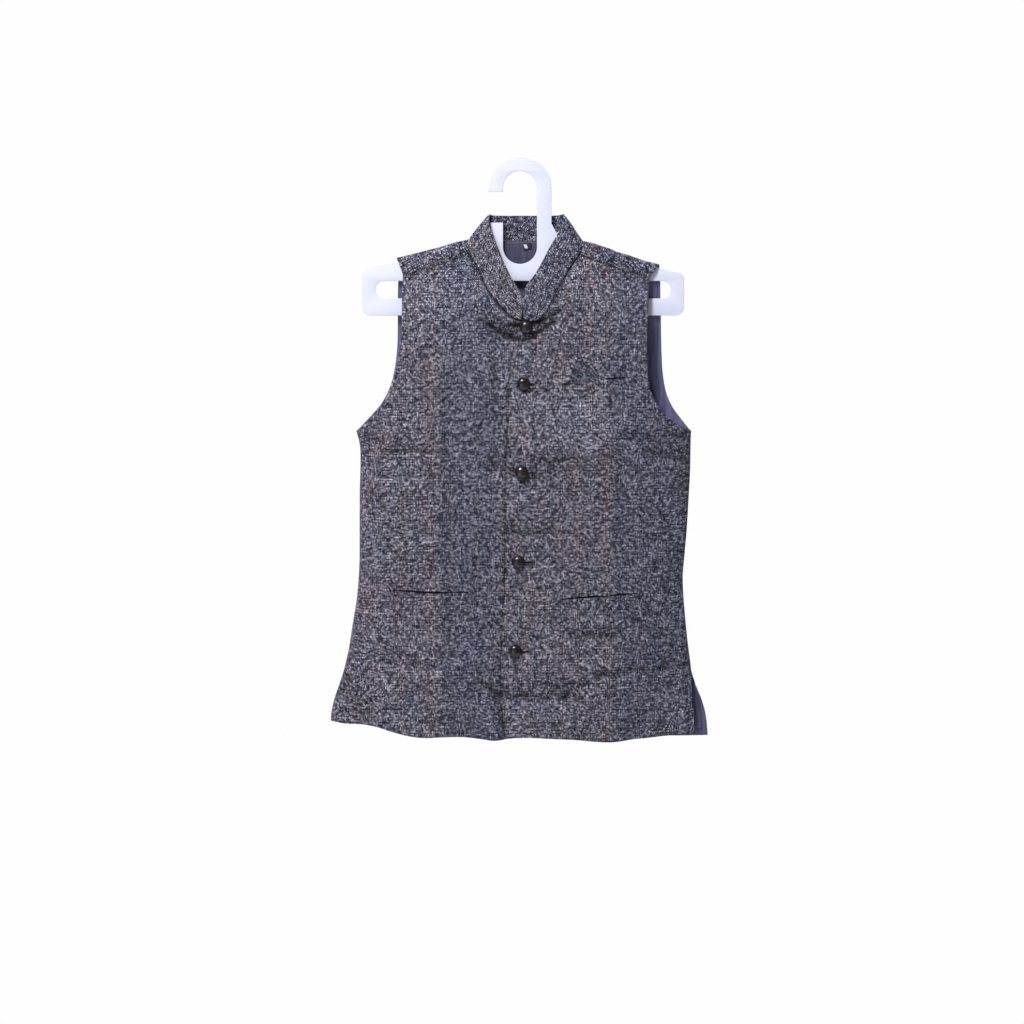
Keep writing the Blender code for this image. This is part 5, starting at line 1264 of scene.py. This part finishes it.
def make_hanger():
    inner, outer = HOOK_R, HOOK_R + HANGER_STEM
    top, low = -HOOK_R, -HOOK_DROP + HOOK_R
    clear = 1.6 / 2 + 2.6
    line = [(-inner, -30.4), (-inner, top)]
    line += arc(0, top, inner, 180, 0, 49)[1:]
    line += [(inner, low)]
    line += arc(0, low, inner, 0, -180, 49)[1:]
    line += [(-inner, -75.0), (-44.9, -75.0), (-44.9, -84.0)]
    left_x = (-50.0, -58.0, -70.0, -90.0, -110.0, -140.0, -165.0, -190.0, -212.0)
    left_z = [float(table(RIDGE, 0, 1, x)) for x in left_x]
    drop = (16.0, 15.0, 8.5, 5.0, clear + 1.2, clear + 1.0, clear + 0.8, clear + 0.6, clear + 1.0)
    line += [(x, z - d) for x, z, d in zip(left_x, left_z, drop)]
    end_r, low_z = 13.0, SLOT_LOW - BAR_H
    line += arc(HANGER_LEFT + end_r, -154.0, end_r, 120, 180, 13)
    line += arc(HANGER_LEFT + end_r, low_z + end_r, end_r, 180, 270, 17)
    line += arc(HANGER_RIGHT - end_r, low_z + end_r, end_r, 270, 360, 17)
    line += arc(HANGER_RIGHT - end_r, -158.0, end_r, 0, 60, 13)
    right_x = (222.0, 200.0, 177.0, 155.0, 128.0, 104.0, 90.0, 76.0, 64.0)
    right_z = [float(table(RIDGE, 0, 1, x)) for x in right_x]
    drop_r = (clear + 1.2, clear + 0.8, clear + 1.0, clear + 1.2, clear + 1.4, 5.0, 8.0, 14.0, 17.0)
    line += [(x, z - d) for x, z, d in zip(right_x, right_z, drop_r)]
    line += [(53.0, -90.0), (45.7, -76.0), (45.7, top)]
    line += arc(0, top, outer, 0, 180, 97)[1:]
    line += [(-outer, -30.4)]
    slot_r, slot_z = (SLOT_TOP - SLOT_LOW) / 2, (SLOT_TOP + SLOT_LOW) / 2
    hole = arc(HANGER_LEFT + 32.0, slot_z, slot_r, 90, 270, 33) + arc(HANGER_RIGHT - 32.0, slot_z, slot_r, -90, 90, 33)
    loops = [line, hole]
    round_by = 0.55
    rings = []
    for loop in loops:
        p = np.array(loop)
        area = 0.5 * np.sum(p[:, 0] * np.roll(p[:, 1], -1) - np.roll(p[:, 0], -1) * p[:, 1])
        ahead, behind = np.roll(p, -1, 0) - p, p - np.roll(p, 1, 0)
        ahead /= np.linalg.norm(ahead, axis=1)[:, None]
        behind /= np.linalg.norm(behind, axis=1)[:, None]
        n1, n2 = np.stack([-ahead[:, 1], ahead[:, 0]], -1), np.stack([-behind[:, 1], behind[:, 0]], -1)
        normal = n1 + n2
        normal /= np.linalg.norm(normal, axis=1)[:, None]
        scale = 1 / np.maximum((normal * n1).sum(1), 0.5)
        inward = normal * scale[:, None] * (1 if (area > 0) == (loop is line) else -1)
        rings.append((p, inward, (area > 0) == (loop is line)))
    half = HANGER_T / 2
    steps = [(round_by * (1 - math.sin(a)), half - round_by * (1 - math.cos(a))) for a in np.radians((0, 30, 60, 90))]
    levels = [(inset, -y) for inset, y in steps] + [(inset, y) for inset, y in steps[::-1]]
    flat = np.concatenate([p for p, _, _ in rings])
    inward = np.concatenate([i for _, i, _ in rings])
    count = len(flat)
    points = [np.stack([flat[:, 0] + inward[:, 0] * inset, np.full(count, y), flat[:, 1] + inward[:, 1] * inset], -1) for inset, y in levels]
    faces = []
    front, start = points[0], 0
    shown = [[tuple((front[k][0], front[k][2], 0.0)) for k in range(s, s + len(p))] for s, p in ((0, rings[0][0]), (len(rings[0][0]), rings[1][0]))]
    for cap in tessellate_polygon(shown):
        (ax, az), (bx, bz), (cx, cz) = (flat[k] for k in cap)
        turn = (bx - ax) * (cz - az) - (cx - ax) * (bz - az)
        cap = tuple(cap) if turn > 0 else tuple(cap)[::-1]
        faces.append(cap)
        faces.append(tuple(k + (len(levels) - 1) * count for k in cap[::-1]))
    for p, _, left in rings:
        size = len(p)
        for level in range(len(levels) - 1):
            for k in range(size):
                a, b = level * count + start + k, level * count + start + (k + 1) % size
                faces.append((b, a, a + count, b + count) if left else (a, b, b + count, a + count))
        start += size
    made = build("sheet_hanger", np.concatenate(points), faces, None, (HANGER_MAT,), sharp=40)
    return belongs(made, "hanger", slot="hanger_plastic")


hanger = make_hanger()


# ---- cloth areas, and a list of the small pieces on the fronts -----------------------------
def flat_area(grid):
    a, b, c, d = grid[:-1, :-1], grid[:-1, 1:], grid[1:, 1:], grid[1:, :-1]
    return float((np.linalg.norm(np.cross(c - a, d - b), axis=-1) / 2).sum()) * 1e-6


print("areas m2", {k: round(flat_area(g), 4) for k, g in (("fr", grid_fr), ("fl", grid_fl), ("back", grid_back), ("lining", grid_lining), ("collar", grid_collar))})
extras = [p for pair in holes for p in pair] + buttons + [square]
for key in ("welt_breast", "welt_left"):
    extras += [welt_parts[key][0], welt_parts[key][1]] + welt_parts[key][2]


# ---- stage, light and camera ----------------------------------------------------------------
scene = bpy.context.scene
scene.view_settings.view_transform = "Standard"
scene.view_settings.look = "None"
scene.view_settings.exposure = 0.0
scene.view_settings.gamma = 1.0

world = bpy.data.worlds.new("studio")
scene.world = world
world.use_nodes = True
tree = world.node_tree
tree.nodes.clear()
out = tree.nodes.new("ShaderNodeOutputWorld")
seen, lit = tree.nodes.new("ShaderNodeBackground"), tree.nodes.new("ShaderNodeBackground")
seen.inputs[0].default_value, seen.inputs[1].default_value = (0.992, 0.992, 0.992, 1.0), 1.0
lit.inputs[0].default_value, lit.inputs[1].default_value = (0.95, 0.97, 1.0, 1.0), 0.22
path, choose = tree.nodes.new("ShaderNodeLightPath"), tree.nodes.new("ShaderNodeMixShader")
tree.links.new(path.outputs["Is Camera Ray"], choose.inputs[0])
tree.links.new(lit.outputs[0], choose.inputs[1])
tree.links.new(seen.outputs[0], choose.inputs[2])
tree.links.new(choose.outputs[0], out.inputs[0])


def area_light(name, place, target, size, power, colour=(1.0, 1.0, 1.0)):
    data = bpy.data.lights.new(name, "AREA")
    data.shape, data.size, data.size_y = "RECTANGLE", size[0], size[1]
    data.energy, data.color = power, colour
    made = bpy.data.objects.new(name, data)
    scene.collection.objects.link(made)
    from mathutils import Vector

    made.location = place
    made.rotation_euler = (Vector(target) - Vector(place)).to_track_quat("-Z", "Y").to_euler()
    return made


area_light("key", (-1.08, -1.98, 2.36), (0.0, 0.0, -0.45), (0.8, 0.8), 165.0, (1.0, 0.99, 0.98))
area_light("fill", (-1.2, -2.8, -1.1), (0.0, 0.0, -0.5), (1.8, 1.8), 17.0, (0.95, 0.97, 1.0))
area_light("behind", (0.9, 2.2, 1.6), (0.0, 0.0, -0.45), (0.9, 0.9), 95.0)

floor_mesh = bpy.data.meshes.new("floor")
ring = [(2.2 * math.cos(a), 2.2 * math.sin(a), -1.62) for a in np.linspace(0, 2 * math.pi, 96, endpoint=False)]
floor_mesh.from_pydata(ring, [], [tuple(range(96))])
floor = bpy.data.objects.new("floor", floor_mesh)
scene.collection.objects.link(floor)
ground = Nodes("floor_paint")
spot = ground.noise(ground.node("ShaderNodeTexCoord").outputs["Object"], scale=3.0, detail=3.0, dims="3D")
ground.set(Base_Color=ground.mix(spot, rgb(0.80, 0.80, 0.79), rgb(0.84, 0.84, 0.83)), Roughness=0.8)
floor_mesh.materials.append(ground.mat)

camera_data = bpy.data.cameras.new("camera")
camera_data.lens, camera_data.sensor_width = 200.0, 36.0
camera = bpy.data.objects.new("camera", camera_data)
scene.collection.objects.link(camera)
camera.location = (-0.0116, -1.4848 * 200.0 / 36.0, -0.4945)
camera.rotation_euler = (math.pi / 2, 0.0, 0.0)
camera_data.clip_end = 100.0
scene.camera = camera

bpy.context.view_layer.update()
